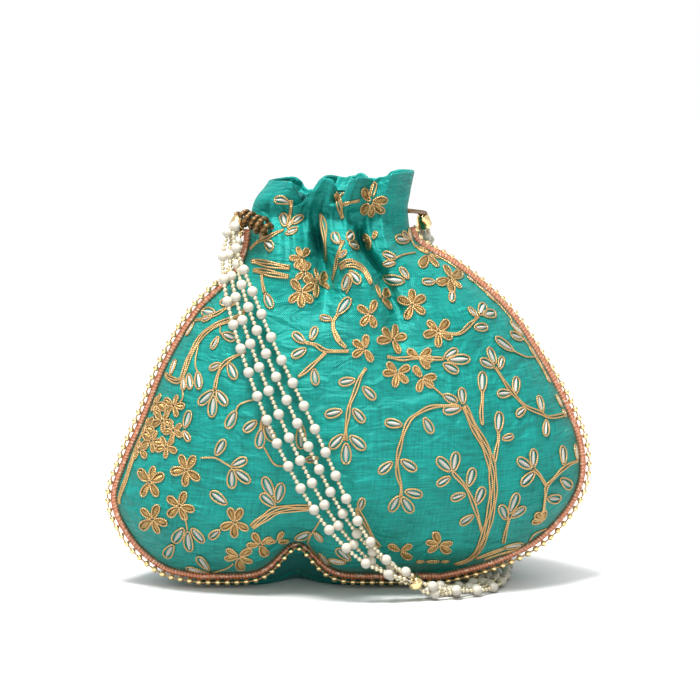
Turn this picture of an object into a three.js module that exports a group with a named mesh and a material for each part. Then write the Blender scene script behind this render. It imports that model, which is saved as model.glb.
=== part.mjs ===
// Potli bag: a gathered silk pouch with a beaded handle, in millimetres.
// It stands on the floor plane z = 0, its front faces -Y and its mouth points up +Z.
import * as THREE from "three";

// Room left between two pieces that touch
const TOUCH_GAP = 0.3;

// Cloth
const PANEL_WALL = 0.8;
const LINING_WALL = 0.5;
const LINING_EASE = 1.5;

// Bag
const BELLY_WIDTH = 212;
const BELLY_FRONT = 46;
const BELLY_BACK = 50;
const NECK_WIDTH = 72;
const NECK_DEPTH = 34;
const NECK_HEIGHT = 172;
const NECK_SHIFT = -8;
const RUFFLE_HEIGHT = 19;
const RUFFLE_WIDTH = 67;
const RUFFLE_LEAN = 5.5;
const RUFFLE_FLARE = 4;
const SEAM_FORWARD = 16;
const BASE_SAG = 7;
const NOTCH_X = -23;
const NOTCH_HEIGHT = 15;
const NOTCH_HALF_WIDTH = 16;
const NOTCH_VALLEY = 6;

// Trim along the side and bottom seam
const PIPING_DIAMETER = 3.2;
const BALL_DIAMETER = 2.6;
const BALL_PITCH = 4.4;
const BALL_THREAD = 0.9;

// Drawstrings in the neck's channel
const DRAWSTRING_DIAMETER = 2;
const CHANNEL_INSET = 7.2;

// Handle
const STRAND_DIAMETER = 3;
const STRAND_PITCH = STRAND_DIAMETER + TOUCH_GAP + 0.1;
const CAP_LENGTH = 6.5;
const CAP_WALL = 0.6;
const CAP_TOP_RADIUS = DRAWSTRING_DIAMETER + 0.6;
const CAP_MOUTH_RADIUS = STRAND_PITCH + 0.1;
const BEAD_RADIUS = 3.5;
const BEAD_LENGTH = 4.6;
const BEAD_BORE_RADIUS = 1.3;

// Worked out from the sizes above
const SEAM_HEIGHT = PIPING_DIAMETER + BALL_DIAMETER + 3 * TOUCH_GAP;
const SLIT_HALF = DRAWSTRING_DIAMETER + 3 * TOUCH_GAP;
const NECK_STATION = 10;
const LAST_STATION = 12;

// Stations up each seam and crown line, from the bottom seam to the neck.
// The first number goes from 0 at the neck's width or depth to 1 at the belly's,
// the second is the height as a share of the neck's height.
const LEFT_SEAM = [
  [0.3, 0], [0.58, 0.06], [0.83, 0.128], [1.0, 0.23], [0.99, 0.335], [0.84, 0.463],
  [0.68, 0.598], [0.48, 0.738], [0.25, 0.831], [0.055, 0.913], [0, 1],
];
const RIGHT_SEAM = [
  [0.2, 0], [0.51, 0.082], [0.78, 0.146], [0.96, 0.252], [1.0, 0.36], [0.93, 0.487],
  [0.8, 0.621], [0.625, 0.741], [0.385, 0.852], [0.155, 0.92], [0, 1],
];
const FRONT_CROWN = [
  [0, 0], [0.38, 0.066], [0.72, 0.122], [0.92, 0.215], [1.0, 0.328], [0.97, 0.465],
  [0.84, 0.604], [0.63, 0.738], [0.41, 0.837], [0.19, 0.918], [0, 1],
];
const BACK_CROWN = [
  [0, 0], [-0.62, 0], [0.08, 0], [0.69, 0.04], [0.96, 0.19], [1.0, 0.39],
  [0.89, 0.566], [0.67, 0.718], [0.43, 0.829], [0.19, 0.917], [0, 1],
];
// How far each side seam stands before the middle plane, station by station
const LEFT_FORWARD = [0, 13, 11, 9.5, 8, 7, 6, 5, 4, 3, 0];
const RIGHT_FORWARD = [0, 12, 9, 7, 4, 1, -2, -4, -4, -3, 0];
// How far the lining lies inside the panels, beyond its ease, station by station
const LINING_TUCK_SIDE = [0, 0, 0, 0, 0, 0, 0.5, 2, 4.5, 7.5, 9.4, 9.4, 6];
const LINING_TUCK_CROWN = [0, 0, 0, 0, 0, 0.4, 1.5, 4, 8.6, 10.6, 7.6, 7.6, 6];

// Folds at the neck: place across at the neck and at the foot of the fold, the station
// where it starts, its depth inward and its width as shares of the half width.
const FRONT_FOLDS = [
  { neck: -0.14, foot: -0.18, start: 7.0, depth: 10, width: 0.11 },
  { neck: 0.17, foot: 0.12, start: 5.8, depth: -5, width: 0.11 },
  { neck: 0.42, foot: 0.2, start: 5.8, depth: 7, width: 0.09 },
  { neck: 0.75, foot: 0.62, start: 8.0, depth: -3, width: 0.13 },
  { neck: -0.58, foot: -0.5, start: 7.2, depth: -4.5, width: 0.25 },
  { neck: -0.9, foot: -0.78, start: 5.5, depth: 4, width: 0.12 },
];
const BACK_FOLDS = [
  { neck: -0.62, foot: -0.55, start: 7.0, depth: 6, width: 0.11 },
  { neck: -0.28, foot: -0.3, start: 6.4, depth: 8, width: 0.11 },
  { neck: 0.08, foot: 0.02, start: 7.2, depth: 8, width: 0.1 },
  { neck: 0.4, foot: 0.33, start: 6.6, depth: 7, width: 0.11 },
  { neck: 0.72, foot: 0.6, start: 7.4, depth: 5, width: 0.12 },
];
// Dips in the ruffle's top edge: place across, fall of the edge, push inward, width
const FRONT_DIPS = [
  { at: -0.58, fall: 4, push: 4, width: 0.13 },
  { at: -0.07, fall: 7, push: 5, width: 0.12 },
  { at: 0.45, fall: 1, push: 3, width: 0.16 },
];
const BACK_DIPS = [
  { at: -0.45, fall: 4, push: 4, width: 0.14 },
  { at: 0.05, fall: 2, push: -3, width: 0.2 },
  { at: 0.5, fall: 5, push: 4, width: 0.14 },
];

// The handle's route, chosen point by point, from the left cap's mouth over the front to
// the spacer bead, then along the floor under the right lobe and up the back to the right cap.
// Each point has its place, the direction away from what it lies on, how far the strands
// are opened from a bundle (0) to a row (1), and the distance between neighbours in the row.
const ROUTE_FRONT = [
  { at: [-50.5, -12, 166], away: [-0.5, -0.86, 0], open: 0, apart: 3.4 },
  { at: [-51.3, -14, 162.4], away: [-0.5, -0.86, 0], open: 0, apart: 3.4 },
  { at: [-51.5, -20, 152], away: [-0.4, -0.9, 0.1], open: 0.6, apart: 4.5 },
  { at: [-47.7, -32.5, 136.4], away: [-0.2, -0.95, 0.25], open: 1, apart: 6 },
  { at: [-39.4, -41, 114], away: [-0.1, -0.97, 0.2], open: 1, apart: 6.6 },
  { at: [-29.6, -47, 91.7], away: [0, -0.99, 0.1], open: 1, apart: 6.6 },
  { at: [-19, -50.2, 68.9], away: [0, -1, 0], open: 1, apart: 6 },
  { at: [-5.6, -50.2, 43], away: [0, -1, -0.1], open: 0.8, apart: 5 },
  { at: [8.3, -47, 24], away: [0, -1, 0], open: 0.4, apart: 4 },
  { at: [20, -44.2, 14], away: [0, -0.9, 0.4], open: 0.05, apart: 3.4 },
  { at: [25, -43, 11], away: [0, -0.8, 0.6], open: 0, apart: 3.4 },
  { at: [28, -42.3, 9.2], away: [0, -0.8, 0.6], open: 0, apart: 3.4 },
];
const ROUTE_BACK = [
  { at: [32.6, -41.2, 5.2], away: [0, -0.1, 1], open: 0, apart: 3.4 },
  { at: [36, -40.4, 3.6], away: [0, 0, 1], open: 0, apart: 3.4 },
  { at: [45, -37, 2.2], away: [0, 0, 1], open: 0.5, apart: 4.2 },
  { at: [56.5, -26, 2], away: [0, 0, 1], open: 1, apart: 4.2 },
  { at: [65, -9, 2], away: [0, 0, 1], open: 1, apart: 4 },
  { at: [69.3, 8, 2], away: [0, 0, 1], open: 1, apart: 4 },
  { at: [70.5, 27, 2.4], away: [0, 0, 1], open: 1, apart: 4.6 },
  { at: [67, 43, 6], away: [0, -0.35, 0.94], open: 1, apart: 5 },
  { at: [62.5, 53, 18], away: [-0.1, -0.9, 0.4], open: 1, apart: 5.5 },
  { at: [57, 55.5, 36], away: [-0.1, -1, 0], open: 1, apart: 6 },
  { at: [52, 53.5, 58], away: [-0.1, -1, 0], open: 1, apart: 6.4 },
  { at: [49, 50, 82], away: [-0.15, -1, -0.1], open: 1, apart: 6.4 },
  { at: [45.5, 45, 108], away: [-0.2, -0.95, -0.2], open: 1, apart: 6 },
  { at: [41, 38, 132], away: [-0.3, -0.9, -0.3], open: 1, apart: 5 },
  { at: [38.2, 30, 150], away: [-0.35, -0.9, -0.3], open: 0.6, apart: 4 },
  { at: [36.6, 22.6, 161.6], away: [-0.4, -0.9, -0.2], open: 0, apart: 3.4 },
  { at: [36, 20, 165], away: [-0.4, -0.9, -0.2], open: 0, apart: 3.4 },
];

const UP = new THREE.Vector3(0, 0, 1);
const TO_BACK = new THREE.Vector3(0, 1, 0);

const mix = (a, b, share) => a + (b - a) * share;

const smooth = (from, to, value) => {
  const share = Math.min(1, Math.max(0, (value - from) / (to - from)));
  return share * share * (3 - 2 * share);
};

const bell = (offset, width) => Math.exp(-((offset / width) ** 2));

const curveThrough = (points) => new THREE.CatmullRomCurve3(points, false, "catmullrom", 0.5);

// Value of a station list at a station number that may lie between two of them
const between = (values, station) => {
  const low = Math.min(values.length - 2, Math.floor(station));
  return mix(values[low], values[low + 1], station - low);
};

// Side seam on the left (side -1) or the right (side 1), from the bottom seam to the ruffle's top
const seamCurve = (side) => {
  const stations = side < 0 ? LEFT_SEAM : RIGHT_SEAM;
  const forward = side < 0 ? LEFT_FORWARD : RIGHT_FORWARD;
  const neckX = NECK_SHIFT + (side * NECK_WIDTH) / 2;
  const points = stations.map(([spread, rise], k) => new THREE.Vector3(
    mix(neckX, (side * BELLY_WIDTH) / 2, spread),
    k === 0 ? -SEAM_FORWARD : -forward[k],
    k === 0 ? SEAM_HEIGHT : rise * NECK_HEIGHT,
  ));
  const topX = NECK_SHIFT + RUFFLE_LEAN + (side * RUFFLE_WIDTH) / 2;
  points.push(new THREE.Vector3(mix(neckX, topX, 0.35), 0, NECK_HEIGHT + RUFFLE_HEIGHT / 2));
  points.push(new THREE.Vector3(topX, 0, NECK_HEIGHT + RUFFLE_HEIGHT));
  return curveThrough(points);
};

// Middle line of the front (face -1) or the back (face 1); the base sags to the floor
const crownCurve = (face) => {
  const stations = face < 0 ? FRONT_CROWN : BACK_CROWN;
  const belly = face < 0 ? BELLY_FRONT : BELLY_BACK;
  const points = stations.map(([spread, rise], k) => {
    if (k === 0) return new THREE.Vector3(0, -SEAM_FORWARD, SEAM_HEIGHT);
    const height = rise === 0 ? -BASE_SAG : rise * NECK_HEIGHT;
    return new THREE.Vector3(0, face * mix(NECK_DEPTH / 2, belly, spread), height);
  });
  const topY = face * (NECK_DEPTH / 2 + RUFFLE_FLARE);
  points.push(new THREE.Vector3(0, (topY + (face * NECK_DEPTH) / 2) / 2, NECK_HEIGHT + RUFFLE_HEIGHT / 2));
  points.push(new THREE.Vector3(0, topY, NECK_HEIGHT + RUFFLE_HEIGHT));
  return curveThrough(points);
};

const SEAMS = { left: seamCurve(-1), right: seamCurve(1) };
const CROWNS = { front: crownCurve(-1), back: crownCurve(1) };

// Depth of all folds at a place across (-1 to 1) and a station
const foldDepth = (folds, across, station) => folds.reduce((sum, fold) => {
  const climb = Math.min(1, Math.max(0, (station - fold.start) / (NECK_STATION - fold.start)));
  const centre = mix(fold.foot, fold.neck, climb);
  const strength = smooth(fold.start, 9, station) * (1 - 0.55 * smooth(9, NECK_STATION, station));
  return sum + fold.depth * strength * bell(across - centre, fold.width);
}, 0);

const dipAt = (dips, across, key) => dips.reduce(
  (sum, dip) => sum + dip[key] * bell(across - dip.at, dip.width), 0);

// Point on a face of the bag. Across runs from -1 at the left seam to 1 at the right one,
// station from 0 at the bottom seam to the ruffle's top. A lining lies inside the panels.
const facePoint = (face, across, station, lining) => {
  const share = station / LAST_STATION;
  const left = SEAMS.left.getPoint(share);
  const right = SEAMS.right.getPoint(share);
  const crown = (face < 0 ? CROWNS.front : CROWNS.back).getPoint(share);
  const place = (1 + across) / 2;
  const full = Math.max(0, 1 - Math.abs(across) ** 2.4) ** 0.62;
  const sideEase = lining ? PANEL_WALL + 0.9 + between(LINING_TUCK_SIDE, station) : 0;
  const crownEase = lining ? PANEL_WALL + LINING_EASE + between(LINING_TUCK_CROWN, station) : 0;
  const point = new THREE.Vector3();
  point.x = mix(left.x + sideEase, right.x - sideEase, place);
  const seamY = mix(left.y, right.y, place);
  const wake = smooth(0, 1, station);
  point.y = seamY + (crown.y - face * crownEase * wake - (left.y + right.y) / 2) * full;
  const seamZ = mix(left.z, right.z, place);
  point.z = seamZ + (crown.z - (left.z + right.z) / 2) * (1 - Math.abs(across) ** 3);
  const low = 1 - smooth(0, face < 0 ? 3.5 : 2, station);
  const spare = lining ? 1 : 0;
  const notch = bell(point.x - NOTCH_X, NOTCH_HALF_WIDTH * (1 + 0.6 * spare));
  point.z += (NOTCH_HEIGHT + 4 * spare) * notch * low;
  if (face < 0) {
    const valley = smooth(0, 1, station) * (1 - smooth(1.5, 4.5, station));
    point.y += (NOTCH_VALLEY + 3 * spare) * notch * valley;
  }
  if (!lining) {
    const dips = face < 0 ? FRONT_DIPS : BACK_DIPS;
    const ruffle = smooth(NECK_STATION + 0.3, LAST_STATION, station);
    point.y -= face * dipAt(dips, across, "push") * ruffle * full;
    point.z -= dipAt(dips, across, "fall") * ruffle;
    point.y -= face * foldDepth(face < 0 ? FRONT_FOLDS : BACK_FOLDS, across, station) * full;
    point.y += face * SLIT_HALF * smooth(9.2, 9.9, station) * Math.abs(across) ** 6;
  }
  point.y += (face * TOUCH_GAP) / 2;
  point.z = Math.max(0, point.z);
  if (lining) {
    const ease = mix(TOUCH_GAP, LINING_EASE, smooth(0, 0.8, station));
    const rise = ease + 4 * TOUCH_GAP * (1 - smooth(1, 2.5, station));
    point.z += (PANEL_WALL + rise) * (1 - smooth(3, 5, station));
    point.z -= 3 * smooth(NECK_STATION, LAST_STATION, station);
  }
  return point;
};

// Direction away from the bag along the seam, square to the seam's run
const outwardOf = (tangent) => TO_BACK.clone().cross(tangent).normalize();

// Outward direction at the edge of a face: along its bottom or up its sides
const edgeOutward = (face, across, station, lining) => {
  const step = 0.02;
  const onBottom = station === 0;
  const before = onBottom
    ? facePoint(face, Math.max(-1, across - step), 0, lining)
    : facePoint(face, across, Math.max(0, station - step), lining);
  const after = onBottom
    ? facePoint(face, Math.min(1, across + step), 0, lining)
    : facePoint(face, across, Math.min(LAST_STATION, station + step), lining);
  const run = after.sub(before);
  run.y = 0;
  if (!onBottom && across < 0) run.negate();
  return outwardOf(run);
};

// Outward direction square to a face, away from its edges
const faceOutward = (face, across, station, lining) => {
  const step = 0.01;
  const alongX = facePoint(face, across + step, station, lining)
    .sub(facePoint(face, across - step, station, lining));
  const up = facePoint(face, across, Math.min(LAST_STATION, station + step), lining)
    .sub(facePoint(face, across, Math.max(0, station - step), lining));
  return alongX.cross(up).multiplyScalar(-face).normalize();
};

// Closed sheet: an outer grid, an inner grid one wall inside it, and a rim round both
const sheet = (face, columns, stations, wall, lining) => {
  const rows = stations.length - 1;
  const positions = [];
  const inner = [];
  for (let j = 0; j <= rows; j += 1) {
    for (let i = 0; i <= columns; i += 1) {
      const across = Math.sin((i / columns - 0.5) * Math.PI);
      const station = stations[j];
      const point = facePoint(face, across, station, lining);
      const onEdge = i === 0 || i === columns || j === 0;
      const outward = onEdge
        ? edgeOutward(face, Math.sign(across) * (Math.abs(across) > 0.9999 ? 1 : Math.abs(across)), station, lining)
        : faceOutward(face, across, station, lining);
      positions.push(point.x, point.y, point.z);
      point.addScaledVector(outward, -wall);
      inner.push(point.x, point.y, point.z);
    }
  }
  const width = columns + 1;
  const offset = width * (rows + 1);
  const index = [];
  const quad = (a, b, c, d) => {
    if (face < 0) index.push(a, b, c, a, c, d);
    else index.push(a, c, b, a, d, c);
  };
  for (let j = 0; j < rows; j += 1) {
    for (let i = 0; i < columns; i += 1) {
      const a = j * width + i;
      quad(a, a + 1, a + 1 + width, a + width);
      quad(a + offset, a + offset + width, a + offset + 1 + width, a + offset + 1);
    }
  }
  for (let i = 0; i < columns; i += 1) {
    const low = i;
    const high = rows * width + i;
    quad(low, low + offset, low + offset + 1, low + 1);
    quad(high, high + 1, high + 1 + offset, high + offset);
  }
  for (let j = 0; j < rows; j += 1) {
    const first = j * width;
    const last = first + columns;
    quad(first, first + width, first + width + offset, first + offset);
    quad(last, last + offset, last + offset + width, last + width);
  }
  const geometry = new THREE.BufferGeometry();
  geometry.setAttribute("position", new THREE.Float32BufferAttribute(positions.concat(inner), 3));
  geometry.setIndex(index);
  return geometry;
};

// Closed loft of rings with their own radii along a curve
const ringLoft = (curve, radii, sides) => {
  const steps = radii.length - 1;
  const frames = curve.computeFrenetFrames(steps, false);
  const positions = [];
  const index = [];
  radii.forEach((radius, j) => {
    const centre = curve.getPointAt(j / steps);
    for (let i = 0; i < sides; i += 1) {
      const turn = (i / sides) * 2 * Math.PI;
      const point = centre.clone()
        .addScaledVector(frames.normals[j], radius * Math.cos(turn))
        .addScaledVector(frames.binormals[j], radius * Math.sin(turn));
      positions.push(point.x, point.y, point.z);
    }
  });
  for (let j = 0; j < steps; j += 1) {
    for (let i = 0; i < sides; i += 1) {
      const a = j * sides + i;
      const b = j * sides + ((i + 1) % sides);
      index.push(a, b, b + sides, a, b + sides, a + sides);
    }
  }
  const lastRing = steps * sides;
  for (let i = 1; i < sides - 1; i += 1) {
    index.push(0, i + 1, i);
    index.push(lastRing, lastRing + i, lastRing + i + 1);
  }
  const geometry = new THREE.BufferGeometry();
  geometry.setAttribute("position", new THREE.Float32BufferAttribute(positions, 3));
  geometry.setIndex(index);
  return geometry;
};

const circleShape = (radius, sides) => {
  const corners = [];
  for (let i = 0; i < sides; i += 1) {
    const turn = (i / sides) * 2 * Math.PI;
    corners.push(new THREE.Vector2(radius * Math.cos(turn), radius * Math.sin(turn)));
  }
  return new THREE.Shape(corners);
};

const cordTube = (curve, diameter, steps) => new THREE.ExtrudeGeometry(
  circleShape(diameter / 2, 8), { steps, extrudePath: curve, bevelEnabled: false });

// Curve that runs a set distance outside the seam: down the left, along the bottom, up the right
const seamRun = (distance) => {
  const points = [];
  const add = (across, station) => {
    const front = facePoint(-1, across, station, false);
    const back = facePoint(1, across, station, false);
    const point = front.add(back).multiplyScalar(0.5);
    const outward = edgeOutward(-1, across, station, false);
    outward.y -= mix(0.55, across < 0 ? 0.3 : 0, smooth(0, 2.5, station));
    points.push(point.addScaledVector(outward.normalize(), distance));
  };
  for (let k = 9.5; k > 0.4; k -= 0.4) add(-1, k);
  for (let across = -0.96; across < 0.97; across += 0.12) add(across, 0);
  for (let k = 0.3; k < 9.6; k += 0.4) add(1, k);
  return curveThrough(points);
};

const pipingGeometry = () => {
  const curve = seamRun(PIPING_DIAMETER / 2 + 1.5 * TOUCH_GAP);
  return ringLoft(curve, new Array(73).fill(PIPING_DIAMETER / 2), 6);
};

const edgingGeometry = () => {
  const curve = seamRun(PIPING_DIAMETER + BALL_DIAMETER / 2 + 3.2 * TOUCH_GAP);
  const count = Math.round(curve.getLength() / BALL_PITCH);
  const radii = [];
  for (let j = 0; j <= 2 * count; j += 1) {
    radii.push(j % 2 === 1 ? BALL_DIAMETER / 2 : BALL_THREAD / 2);
  }
  return ringLoft(curve, radii, 5);
};

// Drawstring of one side: in at the slit, round the channel and out again, both ends in the cap
const drawstringCurve = (side, height, capTop, capAxis) => {
  const halfX = NECK_WIDTH / 2 - CHANNEL_INSET;
  const halfY = NECK_DEPTH / 2 - CHANNEL_INSET;
  const apart = DRAWSTRING_DIAMETER / 2 + TOUCH_GAP / 2;
  const across = capAxis.clone().cross(UP).normalize();
  if (across.y * side < 0) across.negate();
  const points = [];
  const tail = (sign) => [
    capTop.clone().addScaledVector(across, sign * apart * side),
    capTop.clone().addScaledVector(across, sign * apart * side).addScaledVector(capAxis, -2.2),
    new THREE.Vector3(NECK_SHIFT + side * (NECK_WIDTH / 2 + 1), sign * apart, height),
    new THREE.Vector3(NECK_SHIFT + side * (NECK_WIDTH / 2 - 4), sign * apart, height),
  ];
  points.push(...tail(-1));
  const start = side < 0 ? Math.PI : 0;
  const turnWay = side < 0 ? 1 : -1;
  for (let k = 2; k <= 22; k += 1) {
    const turn = start + (turnWay * k * Math.PI) / 12;
    points.push(new THREE.Vector3(NECK_SHIFT + halfX * Math.cos(turn), halfY * Math.sin(turn), height));
  }
  points.push(...tail(1).reverse());
  return curveThrough(points);
};

// Routes of the strands: bundled two by two at the caps and the bead, side by side between
const strandCurve = (route, number) => {
  const middle = curveThrough(route.map(({ at }) => new THREE.Vector3(...at)));
  const sign = number < 2 ? -1 : 1;
  const outer = number === 0 || number === 3;
  const points = route.map(({ at, away, open, apart }, k) => {
    const tangent = middle.getTangent(k / (route.length - 1));
    const lift = new THREE.Vector3(...away);
    lift.addScaledVector(tangent, -lift.dot(tangent)).normalize();
    const across = tangent.clone().cross(lift).normalize();
    const pitch = Math.max(STRAND_PITCH, apart);
    const turn = (open * Math.PI) / 2;
    const point = new THREE.Vector3(...at).addScaledVector(across, sign * 0.5 * pitch);
    if (outer) {
      point.addScaledVector(across, sign * pitch * Math.sin(turn));
      point.addScaledVector(lift, STRAND_PITCH * Math.cos(turn));
    }
    return point;
  });
  return curveThrough(points);
};

// Middle of the strand bundle at one end of a route, and the way the strands leave it
const bundleEnd = (route, last) => {
  const share = last ? 1 : 0;
  const place = new THREE.Vector3();
  [0, 1, 2, 3].forEach((number) => {
    place.addScaledVector(strandCurve(route, number).getPoint(share), 0.25);
  });
  const run = curveThrough(route.map(({ at }) => new THREE.Vector3(...at))).getTangent(share);
  return { place, run: last ? run.negate() : run };
};

const turned = (geometry, axis, place) => {
  const turn = new THREE.Quaternion().setFromUnitVectors(TO_BACK, axis.clone().normalize());
  geometry.applyQuaternion(turn);
  geometry.translate(place.x, place.y, place.z);
  return geometry;
};

// End cap: a thin bell, closed at the top, open where the strands leave it
const capGeometry = () => new THREE.LatheGeometry([
  new THREE.Vector2(0, CAP_LENGTH - CAP_WALL),
  new THREE.Vector2(CAP_TOP_RADIUS - CAP_WALL, CAP_LENGTH - CAP_WALL),
  new THREE.Vector2(CAP_MOUTH_RADIUS - CAP_WALL, CAP_LENGTH * 0.3),
  new THREE.Vector2(CAP_MOUTH_RADIUS - CAP_WALL, 0),
  new THREE.Vector2(CAP_MOUTH_RADIUS, 0),
  new THREE.Vector2(CAP_MOUTH_RADIUS, CAP_LENGTH * 0.3),
  new THREE.Vector2(CAP_TOP_RADIUS, CAP_LENGTH),
  new THREE.Vector2(0, CAP_LENGTH),
], 9);

// Spacer bead: a short faceted bead with a bore for the threads
const beadGeometry = () => new THREE.LatheGeometry([
  new THREE.Vector2(BEAD_BORE_RADIUS, -BEAD_LENGTH / 2),
  new THREE.Vector2(BEAD_RADIUS * 0.72, -BEAD_LENGTH / 2),
  new THREE.Vector2(BEAD_RADIUS, -BEAD_LENGTH * 0.18),
  new THREE.Vector2(BEAD_RADIUS, BEAD_LENGTH * 0.18),
  new THREE.Vector2(BEAD_RADIUS * 0.72, BEAD_LENGTH / 2),
  new THREE.Vector2(BEAD_BORE_RADIUS, BEAD_LENGTH / 2),
  new THREE.Vector2(BEAD_BORE_RADIUS, -BEAD_LENGTH / 2),
], 10);

const PANEL_ROWS = [
  0, 0.4, 0.8, 1.3, 1.8, 2.4, 3, 3.7, 4.5, 5.4, 6.2, 7, 7.7, 8.3, 8.8, 9.2, 9.6, 10, 10.6, 11.3, 12,
];
const LINING_ROWS = [0, 0.7, 1.5, 2.5, 3.8, 5.4, 6.9, 8, 9, 10, 12];

const silk = new THREE.MeshStandardMaterial({ color: 0x20aea6, roughness: 0.45 });
const satin = new THREE.MeshStandardMaterial({ color: 0x2a7f7a, roughness: 0.6 });
const copper = new THREE.MeshStandardMaterial({ color: 0xc8784f, roughness: 0.4, metalness: 0.6 });
const gold = new THREE.MeshStandardMaterial({ color: 0xd2a24c, roughness: 0.3, metalness: 0.9 });
const zari = new THREE.MeshStandardMaterial({ color: 0x8a6430, roughness: 0.5, metalness: 0.5 });
const pearl = new THREE.MeshStandardMaterial({ color: 0xe9e2cc, roughness: 0.25 });

const group = new THREE.Group();
group.name = "potli_bag";

const add = (name, geometry, material) => {
  const mesh = new THREE.Mesh(geometry, material);
  mesh.name = name;
  group.add(mesh);
};

add("front_panel", sheet(-1, 28, PANEL_ROWS, PANEL_WALL, false), silk);
add("back_panel", sheet(1, 20, PANEL_ROWS, PANEL_WALL, false), silk);
add("front_lining", sheet(-1, 12, LINING_ROWS, LINING_WALL, true), satin);
add("back_lining", sheet(1, 12, LINING_ROWS, LINING_WALL, true), satin);
add("seam_piping", pipingGeometry(), copper);
add("bead_edging", edgingGeometry(), gold);

const leftEnd = bundleEnd(ROUTE_FRONT, false);
const rightEnd = bundleEnd(ROUTE_BACK, true);
const capPlace = (end) => end.place.clone().addScaledVector(end.run, -TOUCH_GAP);
const capTop = (end) => end.place.clone().addScaledVector(end.run, -CAP_LENGTH - 2 * TOUCH_GAP);

add("drawstring_left", cordTube(drawstringCurve(
  -1, NECK_HEIGHT - DRAWSTRING_DIAMETER / 2 - TOUCH_GAP / 2, capTop(leftEnd), leftEnd.run),
  DRAWSTRING_DIAMETER, 27), zari);
add("drawstring_right", cordTube(drawstringCurve(
  1, NECK_HEIGHT + DRAWSTRING_DIAMETER / 2 + TOUCH_GAP / 2, capTop(rightEnd), rightEnd.run),
  DRAWSTRING_DIAMETER, 27), zari);
add("handle_cap_left", turned(capGeometry(), leftEnd.run.clone().negate(), capPlace(leftEnd)), gold);
add("handle_cap_right", turned(capGeometry(), rightEnd.run.clone().negate(), capPlace(rightEnd)), gold);

const beadFrom = bundleEnd(ROUTE_FRONT, true).place;
const beadTo = bundleEnd(ROUTE_BACK, false).place;
const beadPlace = beadFrom.clone().add(beadTo).multiplyScalar(0.5);
add("handle_bead", turned(beadGeometry(), beadTo.clone().sub(beadFrom), beadPlace), gold);

for (let number = 0; number < 4; number += 1) {
  add(`strand_${number + 1}_front`, cordTube(strandCurve(ROUTE_FRONT, number), STRAND_DIAMETER, 12), pearl);
  add(`strand_${number + 1}_back`, cordTube(strandCurve(ROUTE_BACK, number), STRAND_DIAMETER, 18), pearl);
}

export default group;
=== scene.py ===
# Potli bag: a teal silk pouch with metal thread embroidery, a piped and beaded seam and a pearl handle.
# All sizes are in millimetres until a piece is made, the front faces -Y and the bag stands on z = 0.
import bpy
import numpy as np
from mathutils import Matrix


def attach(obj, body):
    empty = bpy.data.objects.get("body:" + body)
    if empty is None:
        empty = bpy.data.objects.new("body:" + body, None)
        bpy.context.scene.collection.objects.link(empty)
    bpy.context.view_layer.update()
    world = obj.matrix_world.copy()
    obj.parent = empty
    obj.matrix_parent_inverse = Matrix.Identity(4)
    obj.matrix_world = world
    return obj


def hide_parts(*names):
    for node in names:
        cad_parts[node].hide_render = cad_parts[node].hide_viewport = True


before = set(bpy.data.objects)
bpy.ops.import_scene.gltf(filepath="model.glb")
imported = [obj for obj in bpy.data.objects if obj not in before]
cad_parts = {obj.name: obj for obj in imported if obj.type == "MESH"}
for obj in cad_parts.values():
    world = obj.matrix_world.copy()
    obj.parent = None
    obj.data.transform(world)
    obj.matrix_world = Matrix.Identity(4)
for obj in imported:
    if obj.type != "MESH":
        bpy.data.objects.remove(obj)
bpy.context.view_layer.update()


# Silk panels
# The outside is two panels of thin slub silk, sewn together down the sides and along the bottom,
# and drawn in at the neck by two strings, so that the top stands up as a short ruffle.

left_seam = [
    [0.42, 0], [0.655, 0.06], [0.875, 0.128], [1.007, 0.23], [0.927, 0.335], [0.773, 0.463],
    [0.62, 0.598], [0.383, 0.738], [0.123, 0.831], [0.018, 0.913], [0, 1],
]
right_seam = [
    [0.23, 0], [0.558, 0.082], [0.81, 0.146], [0.99, 0.252], [1.018, 0.36], [0.924, 0.487],
    [0.764, 0.621], [0.577, 0.741], [0.296, 0.852], [0.055, 0.92], [0, 1],
]
front_crown = [
    [0, 0], [0.38, 0.066], [0.72, 0.122], [0.92, 0.215], [1.0, 0.328], [0.97, 0.465],
    [0.84, 0.604], [0.63, 0.738], [0.41, 0.837], [0.19, 0.918], [0, 1],
]
back_crown = [
    [0, 0], [-0.62, 0], [0.08, 0], [0.69, 0.04], [0.96, 0.19], [1.0, 0.39],
    [0.89, 0.566], [0.67, 0.718], [0.43, 0.829], [0.19, 0.917], [0, 1],
]
left_forward = [16, 13, 11, 9.5, 8, 7, 6, 5, 4, 3, 0]
right_forward = [16, 12, 9, 7, 4, 1, -2, -4, -4, -3, 0]
neck_x = -8.0
neck_half = 36.0
neck_half_depth = 17.0
neck_height = 172.0
belly_half = 106.0
belly_front = 46.0
belly_back = 50.0
seam_height = 6.7
base_sag = 7.0
ruffle_height = 19.0
ruffle_half = 33.5
ruffle_lean = 5.5
ruffle_flare = 4.0
ruffle_slant = 4.0
notch_x = -23.0
notch_height = 15.0
notch_width = 12.0
notch_valley = 6.0
neck_groove = 2.5
# Folds: place across at the neck and at the foot, station where it starts, depth, width, lean sideways
front_folds = [
    [-0.16, -0.19, 6.6, 18, 0.075, 0], [0.1, 0.13, 5.2, -9, 0.12, 1.5], [0.4, 0.235, 5.6, 13, 0.06, -1],
    [0.72, 0.6, 7.8, -6, 0.14, 0], [-0.58, -0.5, 7.0, -6, 0.24, 0], [-0.92, -0.8, 5.0, 6, 0.1, 0],
]
back_folds = [
    [-0.62, -0.55, 7.0, 7, 0.1, 0], [-0.28, -0.3, 6.4, 9, 0.1, 0], [0.08, 0.02, 7.2, 10, 0.09, 0],
    [0.4, 0.33, 6.6, 9, 0.1, 0], [0.72, 0.6, 7.4, 7, 0.11, 0],
]
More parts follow.
